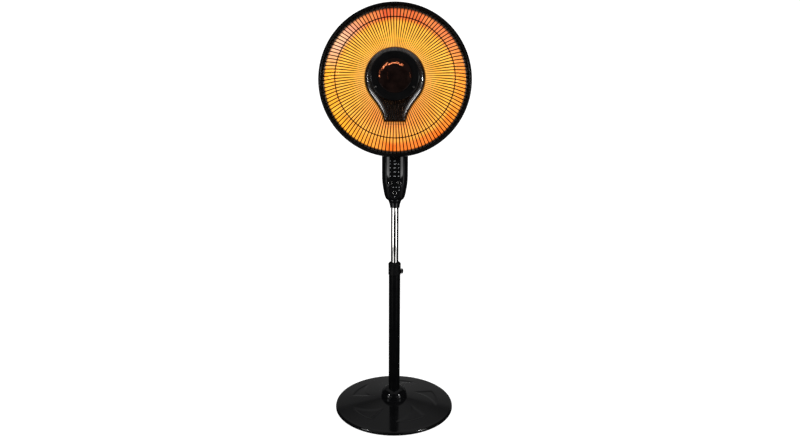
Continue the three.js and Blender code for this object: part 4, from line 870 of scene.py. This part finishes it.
def case_half(name, low, high):
    """Part of the box's shell between two depths, with its bores for the tube and the neck."""
    shell = loose(name, box_solid(0))
    carve(shell, [loose("hollow", box_solid(BOX_WALL, BOX_BOTTOM + BOX_WALL, BOX_TOP - BOX_WALL)),
                  loose("bore", rod(TUBE_BORE, 600, 660, 64)), loose("bore", rod(NECK_BORE, 770, 800))])
    carve(shell, [loose("half", slab((-CUT_REACH, low, 600), (CUT_REACH, high, 820)))], "INTERSECT")
    return shell


class HEATER_OT_case(bpy.types.Operator):
    """Two-part case of the control box, its ferrule, screws and cord gland"""

    bl_idname = "heater.case"
    bl_label = "Control box case"

    def execute(self, context):
        seam = 0.15
        front = case_half("case_front", -CUT_REACH, -seam)
        recess = loose("recess", placed(prism(panel_outline(0.3), 0, CUT_REACH), FACING))
        carve(recess, [loose("floor", box_solid(1.8))])
        carve(front, [recess, *button_drills()])
        ease_edges(front, CASE_EDGE)
        fit(front, "polished_black", "box", ["housing_front"])

        rear = case_half("case_rear", seam, CUT_REACH)
        tools = [loose("slot", slab((-15, 20, z), (15, CUT_REACH, z + 3))) for z in range(744, 772, 7)]
        tops = [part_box(f"housing_screw_{number}")[1].y / MM for number in (1, 2, 3, 4)]
        for (x, z), top in zip(SCREW_PLACES, tops):
            tools.append(loose("counterbore", rod(3.9, top - 2.4, CUT_REACH, 32), on_back(x, z)))
        tools.append(loose("gland_hole", rod(5.5, 10, CUT_REACH, 32), on_back(0, GLAND_HEIGHT)))
        carve(rear, tools)
        ease_edges(rear, CASE_EDGE)
        fit(rear, "rear_black", "box", ["housing_rear"])

        for number, ((x, z), top) in enumerate(zip(SCREW_PLACES, tops), 1):
            shank = [(0, -9), (1.8, -9), (1.8, top - 2.2), (3.4, top - 2.2, 0.3), (3.3, top - 0.9, 0.6),
                     (1.5, top, 0.5), (0, top)]
            cross_screw(f"case_screw_{number}", shank, (2.1, 0.45, 1.2), on_back(x, z), "zinc_steel", "box",
                        f"housing_screw_{number}")

        flare = through([(13.8, 615), (14.3, 620), (15.6, 626), (17.6, 632), (19.4, 636.3)], 5)
        ferrule = [(TUBE_BORE, 615), *flare, (19.4, 637.7), (TUBE_BORE, 637.7)]
        piece("box_ferrule", turned(ferrule, 96), "bright_black", "box", ["neck_ferrule"])

        start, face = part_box("cord_gland")[0].y / MM, box_front(0, GLAND_HEIGHT)
        gland = [(3.6, start), (5.2, start), (5.2, face + 0.3), (8.2, face + 0.3), (8.2, face + 2.4)]
        for rib in range(3):
            z = face + 3.4 + rib * 2.5
            gland += [(6.2 - 0.4 * rib, z, 0.3), (7.4 - 0.6 * rib, z + 0.5, 0.4),
                      (7.2 - 0.6 * rib, z + 1.6, 0.4), (6.0 - 0.4 * rib, z + 2, 0.3)]
        gland += [(4.8, face + 11, 0.5), (3.6, face + 11, 0.3)]
        piece("gland_boot", turned(gland, 48), "black_rubber", "box", ["cord_gland"],
              on_back(0, GLAND_HEIGHT))
        return {"FINISHED"}


def panel_mark(x, z, width, height):
    """Low plate on the panel, with rounded ends."""
    outline, corner = [], min(width, height) / 2
    for cx, cz, start in ((1, 1, 0), (-1, 1, 90), (-1, -1, 180), (1, -1, 270)):
        for turn in (math.radians(start + step * 30) for step in range(4)):
            outline.append((x + cx * (width / 2 - corner) + corner * math.cos(turn),
                            z + cz * (height / 2 - corner) + corner * math.sin(turn)))
    return stacked([[(px, -box_front(px, pz) - lift, pz) for px, pz in outline] for lift in (0.42, -0.1)])


class HEATER_OT_panel(bpy.types.Operator):
    """Glossy control panel, its three buttons with bright rings, and its plain marks"""

    bl_idname = "heater.panel"
    bl_label = "Control panel"

    def execute(self, context):
        panel = loose("panel_window", box_solid(-0.25))
        carve(panel, [loose("back", box_solid(1.5))])
        carve(panel, [loose("edge", placed(prism(panel_outline(), 0, CUT_REACH), FACING))], "INTERSECT")
        carve(panel, button_drills())
        ease_edges(panel, 0.3)
        fit(panel, "panel_black", "box", ["control_panel"], angle=50)

        for name, (x, z, body) in BUTTONS.items():
            back, face = -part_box(name)[1].y / MM, box_front(x, z)
            cap = [(0, back), (5.4, back), (5.4, back + 1.2), (4.2, back + 1.2), (4.2, face + 0.7, 0.7),
                   (2.6, face + 1.4, 0.6), (0, face + 1.1)]
            place = on_front(x, z)
            piece(name + "_cap", turned(cap, 48), "polished_black", body, [name], place)
            trim = [(4.5, face - 1.2), (5.6, face - 1.2), (5.6, face + 0.6, 0.4), (5.0, face + 1.0, 0.3),
                    (4.5, face + 0.6, 0.3)]
            lean = Matrix.Rotation(math.atan2(box_front(x, z + 3) - box_front(x, z - 3), 6), 4, "X")
            seat = Matrix.Translation((x, -face, z)) @ lean @ Matrix.Translation((0, face, 0)) @ FACING
            piece(name + "_ring", turned(trim, 48), "bright_chrome", "box", (), seat)

        # Rows of marks: place on the panel, width and height of each.
        rows = 751, 742.5, 732, 720.5, 708.5
        marks = [(-13.3, z, 1.9, 1.9) for z in rows] + [(9.6, rows[1], 3.4, 1.2)]
        marks += [(-3 + 2.2 * k, z, 1.2, 2.4) for z, count in zip(rows, (3, 4)) for k in range(count)]
        for z in rows[2:]:
            marks += [(-2.2, z, 2.6, 2.6), (1.4, z, 1.4, 2.6), (10.6, z, 2.4, 2.0)]
        spots = (-4.5, 677), (4, 677), (12.4, 677), (12.2, 668.5), (0, 649.5)
        marks += [(x, z, 2.4, 2.4) for x, z in spots]
        piece("panel_marks", together(*(panel_mark(*mark) for mark in marks)), "panel_print", "box",
              angle=60)
        return {"FINISHED"}


class HEATER_OT_inner_parts(bpy.types.Operator):
    """Clamp, board, switch and swing drive inside the control box"""

    bl_idname = "heater.inner_parts"
    bl_label = "Inner parts"

    def execute(self, context):
        dress("grained_black", "pole_clamp", rounding=0.4)
        dress("green_board", "circuit_board", rounding=0.15)
        dress("pale_case", "tip_switch", rounding=0.4)
        dress("zinc_steel", "motor_plate", "swing_lever", "swing_nut", rounding=0.25)
        dress("brushed_motor", "swing_motor", rounding=0.4)
        dress("natural_nylon", "crank_disc", "swing_washer", rounding=0.25)
        return {"FINISHED"}


# ------------------------------------------------------------------ neck and tilt joint
class HEATER_OT_neck(bpy.types.Operator):
    """Turning neck, tilt bracket, pin and hand knob"""

    bl_idname = "heater.neck"
    bl_label = "Neck and tilt joint"

    def execute(self, context):
        turret = [(0, 756.6), (7, 756.6), (7, 788.2), (27, 788.2, 0.6), (27, 792.6, 1.2), (23.6, 796.2, 2),
                  (0, 796.2)]
        neck = loose("neck_casting", turned(turret, 96))
        foot, pivot = Vector((0, 4, 794)), HEAD_PLACE @ Vector(PIVOT_IN_HEAD)
        across = Matrix.Translation(pivot) @ SIDEWAYS

        def slimmer(share):
            return 17.5 - 7.2 * min(1.0, share * 1.25) ** 0.7

        arm = loose("arm", tube([foot.lerp(pivot, i / 12) for i in range(13)], slimmer, 48))
        knuckle = turned([(0, -12.2), (13, -12.2, 1), (13, 12.2, 1), (0, 12.2)], 64)
        carve(neck, [arm, loose("knuckle", knuckle, across)], "UNION")
        carve(neck, [loose("pin_hole", rod(4.3, -30, 30, 32), across)])
        fit(neck, "neck_black", "neck", ["swivel_neck"], angle=40)
        dress("neck_black", "tilt_bracket", rounding=0.8)
        dress("zinc_steel", "tilt_pin", rounding=0.3)

        start, end = (corner.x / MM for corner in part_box("tilt_knob"))
        grip = [(4.3, start), (12, start, 0.6), (15, start + 1.6, 1), (17, start + 5, 1.4), (17, end - 3, 2),
                (13.6, end, 2), (8, end, 0.6), (6.6, end - 0.9, 0.6), (0, end - 0.9), (0, end - 3.4),
                (4.3, end - 3.4)]
        piece("tilt_grip", turned(grip, 120, lobes=fluted(6, 0.1, 1.5)), "neck_black", "tilt_lock",
              ["tilt_knob"], across)
        return {"FINISHED"}


# ------------------------------------------------------------------ head
def dish_level(radius):
    return FLANGE_LEVEL - DISH_DEPTH * (1 - (radius / DISH_RADIUS) ** 2)


class HEATER_OT_rims(bpy.types.Operator):
    """Front and rear rim rings that clip round the dish"""

    bl_idname = "heater.rims"
    bl_label = "Rims"

    def execute(self, context):
        r = HEAD_RADIUS
        front = [(r, 0.2, 0.4), (r, 7.6, 3), (r - 1.6, 10.7, 2), (r - 5, 12.4, 2), (196.4, 9.8, 0.7),
                 (r - 5.2, 10.1, 1), (r - 2.3, 6.8, 1), (r - 2.3, 0.2)]
        rear = [(r, -0.1, 0.4), (r, -8, 3), (r - 1.4, -11.2, 2), (r - 4, -13, 2), (196.2, -13, 0.8),
                (198, -10.8, 0.6), (201.9, -1.1, 0.6), (196.2, -0.5), (196.2, 0.9), (202.4, 0.9),
                (202.4, -0.1)]
        for side, profile, steps in (("front", front, 6), ("rear", rear, 5)):
            piece(f"rim_{side}_ring", turned(profile, sizes().roundness, steps), "rim_black", "head",
                  ["rim_" + side], HEAD_FACING)
        return {"FINISHED"}


class HEATER_OT_dish(bpy.types.Operator):
    """Dished reflector with its flat flange, its brightness painted on as glow"""

    bl_idname = "heater.dish"
    bl_label = "Reflector dish"

    def execute(self, context):
        steps, under = 34, FLANGE_LEVEL - DISH_SHEET
        front = [(DISH_RADIUS * i / steps, dish_level(DISH_RADIUS * i / steps)) for i in range(steps + 1)]
        back = [(r, z - DISH_SHEET) for r, z in reversed(front)]
        flange = [(194.5, FLANGE_LEVEL, 1.5), (DISH_EDGE, FLANGE_LEVEL), (DISH_EDGE, under), (193.6, under)]
        shape = turned(front + flange + back, sizes().roundness)
        dish = piece("dish_bowl", shape, "dish_glow", "head", ["reflector"], HEAD_FACING, 60)
        # The front's places carry the painted glow; the back's places lie outside it.
        past_the_painted_glow = 3  # the back is plain metal, so its places lie past the glow's edge
        note_places(dish, "dish_place", [
            (x / DISH_RADIUS, y / DISH_RADIUS, past_the_painted_glow if z < dish_level(math.hypot(x, y)) - 0.6 else 0)
            for x, y, z in shape[0]])
        return {"FINISHED"}


class HEATER_OT_guard(bpy.types.Operator):
    """Radial wire guard with its rings"""

    bl_idname = "heater.guard"
    bl_label = "Wire guard"

    def execute(self, context):
        width, count = sizes().wire_width / MM, sizes().wire_count
        run = through([(199, 4.3), (196.4, 8.2), (183, 18.8), (157.4, 35.6), (128, 43.4), (95, 49.4),
                       (62, 53.2), (60.6, 53.2)], 3)

        def drawn(share):
            """Half width of a wire, thinner toward the hub."""
            return width / 2 * (1 - 0.58 * max(0.0, min(1.0, (share - 0.56) / 0.2)))

        wire = tube([(r, 0, level) for r, level in run], drawn, 8)
        wires = [placed(wire, Matrix.Rotation((i + 0.5) / count * TURN, 4, "Z")) for i in range(count)]
        rings = [hoop(199, 3.9, 2.6), hoop(157.4, 33.9, 2.8, 240), hoop(62, 51.6, 2.4)]
        piece("wire_guard", together(*wires, *rings), "guard_plating", "head", ["guard"],
              HEAD_FACING, 60)
        return {"FINISHED"}


def hood_outline():
    """Keyhole: round top that sweeps in to a neck, from the bottom right corner anticlockwise."""
    leave = math.radians(-38)
    ax, az = HOOD_RADIUS * math.cos(leave), HOOD_RADIUS * math.sin(leave)
    bx, bz = HOOD_NECK_HALF, -HOOD_NECK_DROP
    knots = [Vector(knot) for knot in (
        (bx, bz), (bx + 2.6, bz + 26), (ax + 22 * math.sin(leave), az - 22 * math.cos(leave)), (ax, az))]
    right, sweep_steps, top_steps, foot_steps = [], 26, 88, 12
    for t in (i / sweep_steps for i in range(sweep_steps)):
        shares = ((1 - t) ** 3, 3 * t * (1 - t) ** 2, 3 * t * t * (1 - t), t ** 3)
        right.append(sum((share * knot for share, knot in zip(shares, knots)), Vector((0, 0))))
    top = [Vector((HOOD_RADIUS * math.cos(a), HOOD_RADIUS * math.sin(a)))
           for a in (leave + (math.pi - 2 * leave) * i / top_steps for i in range(top_steps + 1))]
    left = [Vector((-p.x, p.y)) for p in reversed(right)]
    foot = [Vector((-bx + 2 * bx * i / foot_steps, bz)) for i in range(1, foot_steps)]
    return right + top + left + foot


def drawn_in(outline, inset):
    """Outline moved inward along its corners' own directions."""
    moved = []
    for i, point in enumerate(outline):
        before, after = point - outline[i - 1], outline[(i + 1) % len(outline)] - point
        a = Vector((-before.y, before.x)).normalized()
        b = Vector((-after.y, after.x)).normalized()
        both = (a + b).normalized()
        moved.append(point + both * (inset / max(0.5, both.dot(a))))
    return moved


def hood_ring(outline, inset, level):
    """Outline moved inward, with its two lower corners kept as clean mitres."""
    moved = drawn_in(outline, inset)
    corner, foot = moved[0].x, inset - HOOD_NECK_DROP
    return [(max(-corner, min(corner, p.x)), foot, level) if p.y <= foot + 1e-6 else (p.x, p.y, level)
            for p in moved]


class HEATER_OT_hood(bpy.types.Operator):
    """Keyhole hood before the lamp, its centre plate and screws"""

    bl_idname = "heater.hood"
    bl_label = "Lamp hood"

    def execute(self, context):
        outline, roll_steps = hood_outline(), 10
        turns = [i / roll_steps * math.pi / 2 for i in range(roll_steps + 1)]

        def rolled(sheet):
            """Rings of the rolled edge, on the front or one sheet's thickness behind it."""
            return [hood_ring(outline, sheet + (HOOD_CROWN - sheet) * (1 - math.cos(turn)),
                              HOOD_REACH - sheet - (HOOD_ROUNDING - sheet) * (1 - math.sin(turn)))
                    for turn in turns]

        def window(radius, level):
            return [(radius * p.x / p.length, radius * p.y / p.length, level) for p in outline]

        rings = [hood_ring(outline, 0, HOOD_BACK), hood_ring(outline, 0, 19), *rolled(0)]
        rings += [window(57, HOOD_REACH), window(56, HOOD_REACH - 0.5)]
        rings += [window(HOOD_WINDOW, HOOD_REACH - 0.5), window(HOOD_WINDOW, HOOD_REACH - HOOD_SHEET)]
        rings += [*reversed(rolled(HOOD_SHEET)), hood_ring(outline, HOOD_SHEET, HOOD_BACK)]
        shell = loose("hood_shell", stacked(rings, looped=True), HEAD_FACING, merge=True)
        fit(shell, "hood_black", "head", ["hood"], angle=50)

        seat = HOOD_REACH + 0.3
        plate = [(HOOD_WINDOW, PLATE_BACK), (46.5, PLATE_BACK), (46.5, seat), (54, seat), (54, PLATE_BACK),
                 (63.4, PLATE_BACK, 0.4), (64, PLATE_BACK + 0.8, 0.6), (61, PLATE_FRONT - 0.3, 3),
                 (50, PLATE_FRONT, 4), (44.5, PLATE_FRONT - 0.8, 0.8), (HOOD_WINDOW, PLATE_BACK + 1.3)]
        piece("centre_plate", turned(plate, 144), "rim_black", "head", ["hub_plate"],
              HEAD_FACING)

        shank = [(0, 36), (1.6, 36), (1.6, PLATE_FRONT + 0.4), (3.1, PLATE_FRONT + 0.4, 0.3),
                 (2.8, PLATE_FRONT + 1.6, 0.6), (1.2, PLATE_FRONT + 2.1, 0.5), (0, PLATE_FRONT + 2.1)]
        for x, node in ((-49, "hub_screw_left"), (49, "hub_screw_right")):
            place = HEAD_PLACE @ Matrix.Translation((x, 0, -29)) @ FACING
            cross_screw(node + "_head", shank, (1.8, 0.35, 0.9), place, "blackened_steel", "head", node)
        dress("zinc_steel", "hood_leg", "thermal_cutout", rounding=0.4)
        return {"FINISHED"}


class HEATER_OT_lens(bpy.types.Operator):
    """Dark glossy lens in the hood, with the lamp's arc painted on it as glow"""

    bl_idname = "heater.lens"
    bl_label = "Sight lens"

    def execute(self, context):
        seat, rim, steps = PLATE_BACK + 1.6, SIGHT_RADIUS - 0.4, 40
        profile = [(0, seat + 3.4), (40.5, seat), (SIGHT_RADIUS, seat), (SIGHT_RADIUS, seat + 1.4)]
        for radius in (rim * (1 - i / steps) for i in range(steps + 1)):
            profile.append((radius, seat + 2.0 + 4 * (1 - (radius / rim) ** 2)))
        shape = turned(profile, 128)
        lens = piece("lens_dome", shape, "smoked_glass", "head", ["sight_lens"], HEAD_FACING, 60)
        note_places(lens, "lens_place", [(x / SIGHT_RADIUS, y / SIGHT_RADIUS, 0) for x, y, _ in shape[0]])
        return {"FINISHED"}


class HEATER_OT_lamp(bpy.types.Operator):
    """Quartz tube with its coiled filament, behind the hood"""

    bl_idname = "heater.lamp"
    bl_label = "Lamp"

    def execute(self, context):
        leg = [(10, -98), (10, -78.4), (10, -58.8)]
        bend = [(34 * math.cos(turn), 34 * math.sin(turn))
                for turn in (math.radians(-58 + 18.5 * i) for i in range(17))]
        knots = leg + bend + [(-x, y) for x, y in reversed(leg)]
        route = [(x, y, LAMP_LEVEL) for x, y in through(knots, 8)]
        piece("quartz_tube", tube(route, LAMP_RADIUS, 24), "quartz", "head", ["lamp_tube"],
              HEAD_FACING, 60)

        points, outward, turn_steps = [Vector(p) for p in route[10:-10]], Vector((0, 0, 1)), 10
        coil, steps = [], sizes().coil_turns * turn_steps
        for i in range(steps + 1):
            where = i / steps * (len(points) - 1)
            k = min(int(where), len(points) - 2)
            middle = points[k].lerp(points[k + 1], where - k)
            side = (points[k + 1] - points[k]).normalized().cross(outward)
            turn = i / turn_steps * TURN
            coil.append(middle + COIL_RADIUS * (math.cos(turn) * side + math.sin(turn) * outward))
        piece("filament_coil", tube(coil, FILAMENT_RADIUS, 5), "lit_filament", "head", (),
              HEAD_FACING, 60)
        dress("lamp_ceramic", "lamp_cap_left", "lamp_cap_right", rounding=0.5)
        return {"FINISHED"}


class HEATER_OT_rear_cover(bpy.types.Operator):
    """Domed rear cover with vent slots"""

    bl_idname = "heater.rear_cover"
    bl_label = "Rear cover"

    def execute(self, context):
        knots = [(202, -13.3), (200.5, -19), (182, -33), (120, -66), (70, -82), (34, -85.4), (0, -86)]
        outer = through(knots, 7)
        inner = [(0, -84), *((max(r - 1.4, 0.5), z + 1.7) for r, z in reversed(outer[2:-1])), (199.4, -13.3)]
        cover = loose("cover_shell", turned(outer + inner, sizes().roundness), HEAD_FACING)
        slots, count, middle, half, tip = [], 14, 102, 11, 4
        outline = []
        for centre, start in ((half, -90), (-half, 90)):
            for turn in (math.radians(start + 18 * k) for k in range(11)):
                outline.append((middle + centre + tip * math.cos(turn), tip * math.sin(turn)))
        for i in range(count):
            if min(i + 0.5, count - i - 0.5) * 360 / count > 30:  # none below, where the bracket is
                turn = Matrix.Rotation(math.radians((i + 0.5) / count * 360 - 90), 4, "Z")
                slots.append(loose("slot", placed(prism(outline, -120, -40), turn), HEAD_FACING))
        carve(cover, slots)
        ease_edges(cover, 0.4, angle=50)
        fit(cover, "cover_black", "head", ["rear_cover"], angle=45)
        return {"FINISHED"}


# ------------------------------------------------------------------ studio
PHOTO_WIDTH = 800
FOCAL_LENGTH = 554  # in the photograph's pixels
CAMERA_PLACE = (0.0152, -1.589, 0.854)
CAMERA_DOWN, CAMERA_ROLL = 9.75, 0.32  # degrees
SENSOR = 36
CARD_TONES = ((0.01, 0.01, 0.01), (0.02, 0.02, 0.02), 8.0)
STUDIO_HALF, STUDIO_NEAR, STUDIO_FAR = 13000, -7000, 12000
CARD_HEIGHT, LOW_CARD_HEIGHT, FAR_CARD_HEIGHT = 2400, 450, 2600
FRONT_CARD = -1860
SIDE_CARDS = [(1300, -860), (1500, 100), (4500, 4500)]  # where the side cards begin, meet and end


class HEATER_OT_stage(bpy.types.Operator):
    """Pale floor and backdrop, soft lamps and the camera"""

    bl_idname = "heater.stage"
    bl_label = "Studio"

    def execute(self, context):
        context.scene.view_settings.view_transform = "Standard"
        self.paper()
        self.cards()
        self.air(context.scene)
        for side, name in ((-1, "left"), (1, "right")):
            self.lamp("softbox_" + name, 38 * side, 2.6, 0.44, 0.6, 2.1, 0.84, 7.5)
            self.lamp("spot_" + name, 50 * side, 2.4, 1.5, 0.4, 0.13, 0.13, 26)
            self.lamp("low_" + name, 60 * side, 1.9, 0.42, 0.6, 1.0, 0.6, 9)
        self.camera(context.scene)
        return {"FINISHED"}

    def paper(self):
        """Floor and backdrop, white to the eye and in gloss."""
        paper = Finish("studio_paper", specular=0.1, roughness=0.9)
        white = Vector(colours().paper)
        paper.mottled(white * 0.97, white, 3.0)
        away = paper.node("VectorMath", {0: paper.place}, operation="LENGTH").outputs["Value"]
        rays = paper.node("LightPath").outputs
        seen = paper.sums("MAXIMUM", rays["Is Camera Ray"], rays["Is Glossy Ray"])
        seen = paper.sums("MAXIMUM", seen, rays["Is Transmission Ray"])
        paper.set({"Emission Color": (1, 1, 1, 1)})
        paper.link(paper.sums("MULTIPLY", seen, paper.between(away, 0.8, 1.0, 1.0, 6.0)), "Emission Strength")
        paper.raised(paper.cloud(300.0), 0.05, 0.2)
        left, right, under = -STUDIO_HALF, STUDIO_HALF, -20
        for name, low, high in (
            ("studio_floor", (left, STUDIO_NEAR, under), (right, STUDIO_FAR, 0)),
            ("studio_wall", (left, STUDIO_FAR, under), (right, STUDIO_FAR + 100, 4200)),
        ):
            thing = loose(name, slab(low, high))
            thing.data.materials.append(paper.material)

    def cards(self):
        """Dark and grey cards that only show in gloss."""
        dark = Finish("dark_card", specular=0.0, roughness=0.9)
        dark.mottled(*CARD_TONES)
        grey = Finish("grey_card", specular=0.0, roughness=0.9)
        grey.mottled(*CARD_TONES)
        grey.set({"Emission Color": (1, 1, 1, 1)})
        grey.link(grey.between(grey.cloud(3.0), 0.16, 0.22), "Emission Strength")

        def card(name, corners, made=dark):
            thing = loose(name, (corners, [tuple(range(len(corners)))]))
            thing.data.materials.append(made.material)
            thing.visible_camera = thing.visible_shadow = thing.visible_diffuse = False

        def upright(name, start, end, high, low=0, made=dark):
            card(name, [(*start, low), (*end, low), (*end, high), (*start, high)], made)

        begin, meet, end = SIDE_CARDS
        upright("rear_card", (-end[0], end[1]), end, FAR_CARD_HEIGHT, made=grey)
        upright("front_card", (-550, FRONT_CARD), (550, FRONT_CARD), CARD_HEIGHT)
        upright("front_low_card", (-1550, FRONT_CARD + 10), (1550, FRONT_CARD + 10), LOW_CARD_HEIGHT)
        card("front_floor_card", [(x, y, 1) for x, y in (
            (-150, -280), (150, -280), (980, FRONT_CARD + 10), (-980, FRONT_CARD + 10))])
        card("base_floor_card", circle(700, 2, 24))
        for side, name in ((-1, "left"), (1, "right")):
            (ax, ay), (bx, by), (cx, cy) = begin, meet, end
            upright(name + "_card_near", (ax * side, ay), (bx * side, by), CARD_HEIGHT)
            upright(name + "_card_far", (bx * side, by), (cx * side, cy), FAR_CARD_HEIGHT)
            upright(name + "_spot_card", (1150 * side, -1270), (1450 * side, -915), 1620, 1180)
            card(name + "_floor_card", [(x * side, y, 1) for x, y in ((250, -165), *SIDE_CARDS, (250, cy))])

    def air(self, scene):
        """World: white to the eye, a plain level on matt surfaces, and darker toward the floor in gloss."""
        scene.world = bpy.data.worlds.new("studio_air")
        scene.world.use_nodes = True
        tree = scene.world.node_tree
        toward = add_node(tree, "TexCoord").outputs["Generated"]
        height = add_node(tree, "SeparateXYZ", {0: toward}).outputs["Z"]
        rise = add_node(tree, "MapRange", {
            "Value": height, "From Min": 0.52, "From Max": 0.85, "To Min": 0.09, "To Max": 0.5}).outputs[0]
        rays = add_node(tree, "LightPath").outputs
        light = add_node(tree, "Mix", {"Factor": rays["Is Glossy Ray"], "A": 0.6, "B": rise})
        level = add_node(tree, "Math", {0: rays["Is Camera Ray"], 1: light.outputs["Result"]},
                         operation="MAXIMUM").outputs[0]
        tree.nodes["Background"].inputs["Color"].default_value = (1, 1, 1, 1)
        tree.links.new(level, tree.nodes["Background"].inputs["Strength"])

    def lamp(self, name, heading, distance, height, aim, width, tall, power):
        """Soft lamp at a heading in degrees from the front, aimed at a height on the heater, in metres."""
        light = bpy.data.lights.new(name, "AREA")
        light.shape, light.size, light.size_y, light.energy = "RECTANGLE", width, tall, power
        thing = bpy.data.objects.new(name, light)
        bpy.context.scene.collection.objects.link(thing)
        turn = math.radians(heading)
        thing.location = (distance * math.sin(turn), -distance * math.cos(turn), height)
        toward = Vector((0, 0, aim)) - thing.location
        thing.rotation_euler = toward.to_track_quat("-Z", "Y").to_euler()
        thing.visible_camera = False

    def camera(self, scene):
        """Camera at the photograph's own place and angle."""
        lens = bpy.data.cameras.new("camera")
        lens.sensor_width, lens.lens, lens.clip_end = SENSOR, FOCAL_LENGTH / PHOTO_WIDTH * SENSOR, 60
        camera = bpy.data.objects.new("camera", lens)
        scene.collection.objects.link(camera)
        camera.location = CAMERA_PLACE
        down = Matrix.Rotation(math.radians(90 - CAMERA_DOWN), 3, "X")
        camera.rotation_euler = (down @ Matrix.Rotation(math.radians(CAMERA_ROLL), 3, "Z")).to_euler()
        scene.camera = camera


OPERATORS = (
    HEATER_OT_stage, HEATER_OT_base, HEATER_OT_dome, HEATER_OT_pole, HEATER_OT_case, HEATER_OT_panel,
    HEATER_OT_inner_parts, HEATER_OT_neck, HEATER_OT_rims, HEATER_OT_dish, HEATER_OT_guard, HEATER_OT_hood,
    HEATER_OT_lens, HEATER_OT_lamp, HEATER_OT_rear_cover,
)


class HEATER_PT_panel(bpy.types.Panel):
    """Lists the heater's values and the operators that build it"""

    bl_idname = "HEATER_PT_panel"
    bl_label = "Heater"
    bl_space_type = "VIEW_3D"
    bl_region_type = "UI"
    bl_category = "Heater"

    def draw(self, context):
        for values in (sizes(), colours()):
            for name in values.__annotations__:
                self.layout.prop(values, name)
        for operator in OPERATORS:
            self.layout.operator(operator.bl_idname)


CLASSES = (HeaterSizes, HeaterColours, *OPERATORS, HEATER_PT_panel)


def register():
    for cls in CLASSES:
        bpy.utils.register_class(cls)
    bpy.types.Scene.heater_sizes = PointerProperty(type=HeaterSizes)
    bpy.types.Scene.heater_colours = PointerProperty(type=HeaterColours)


def unregister():
    del bpy.types.Scene.heater_colours
    del bpy.types.Scene.heater_sizes
    for cls in reversed(CLASSES):
        bpy.utils.unregister_class(cls)


def main():
    register()
    for operator in OPERATORS:
        group, name = operator.bl_idname.split(".")
        getattr(getattr(bpy.ops, group), name)()


if __name__ == "__main__":
    main()
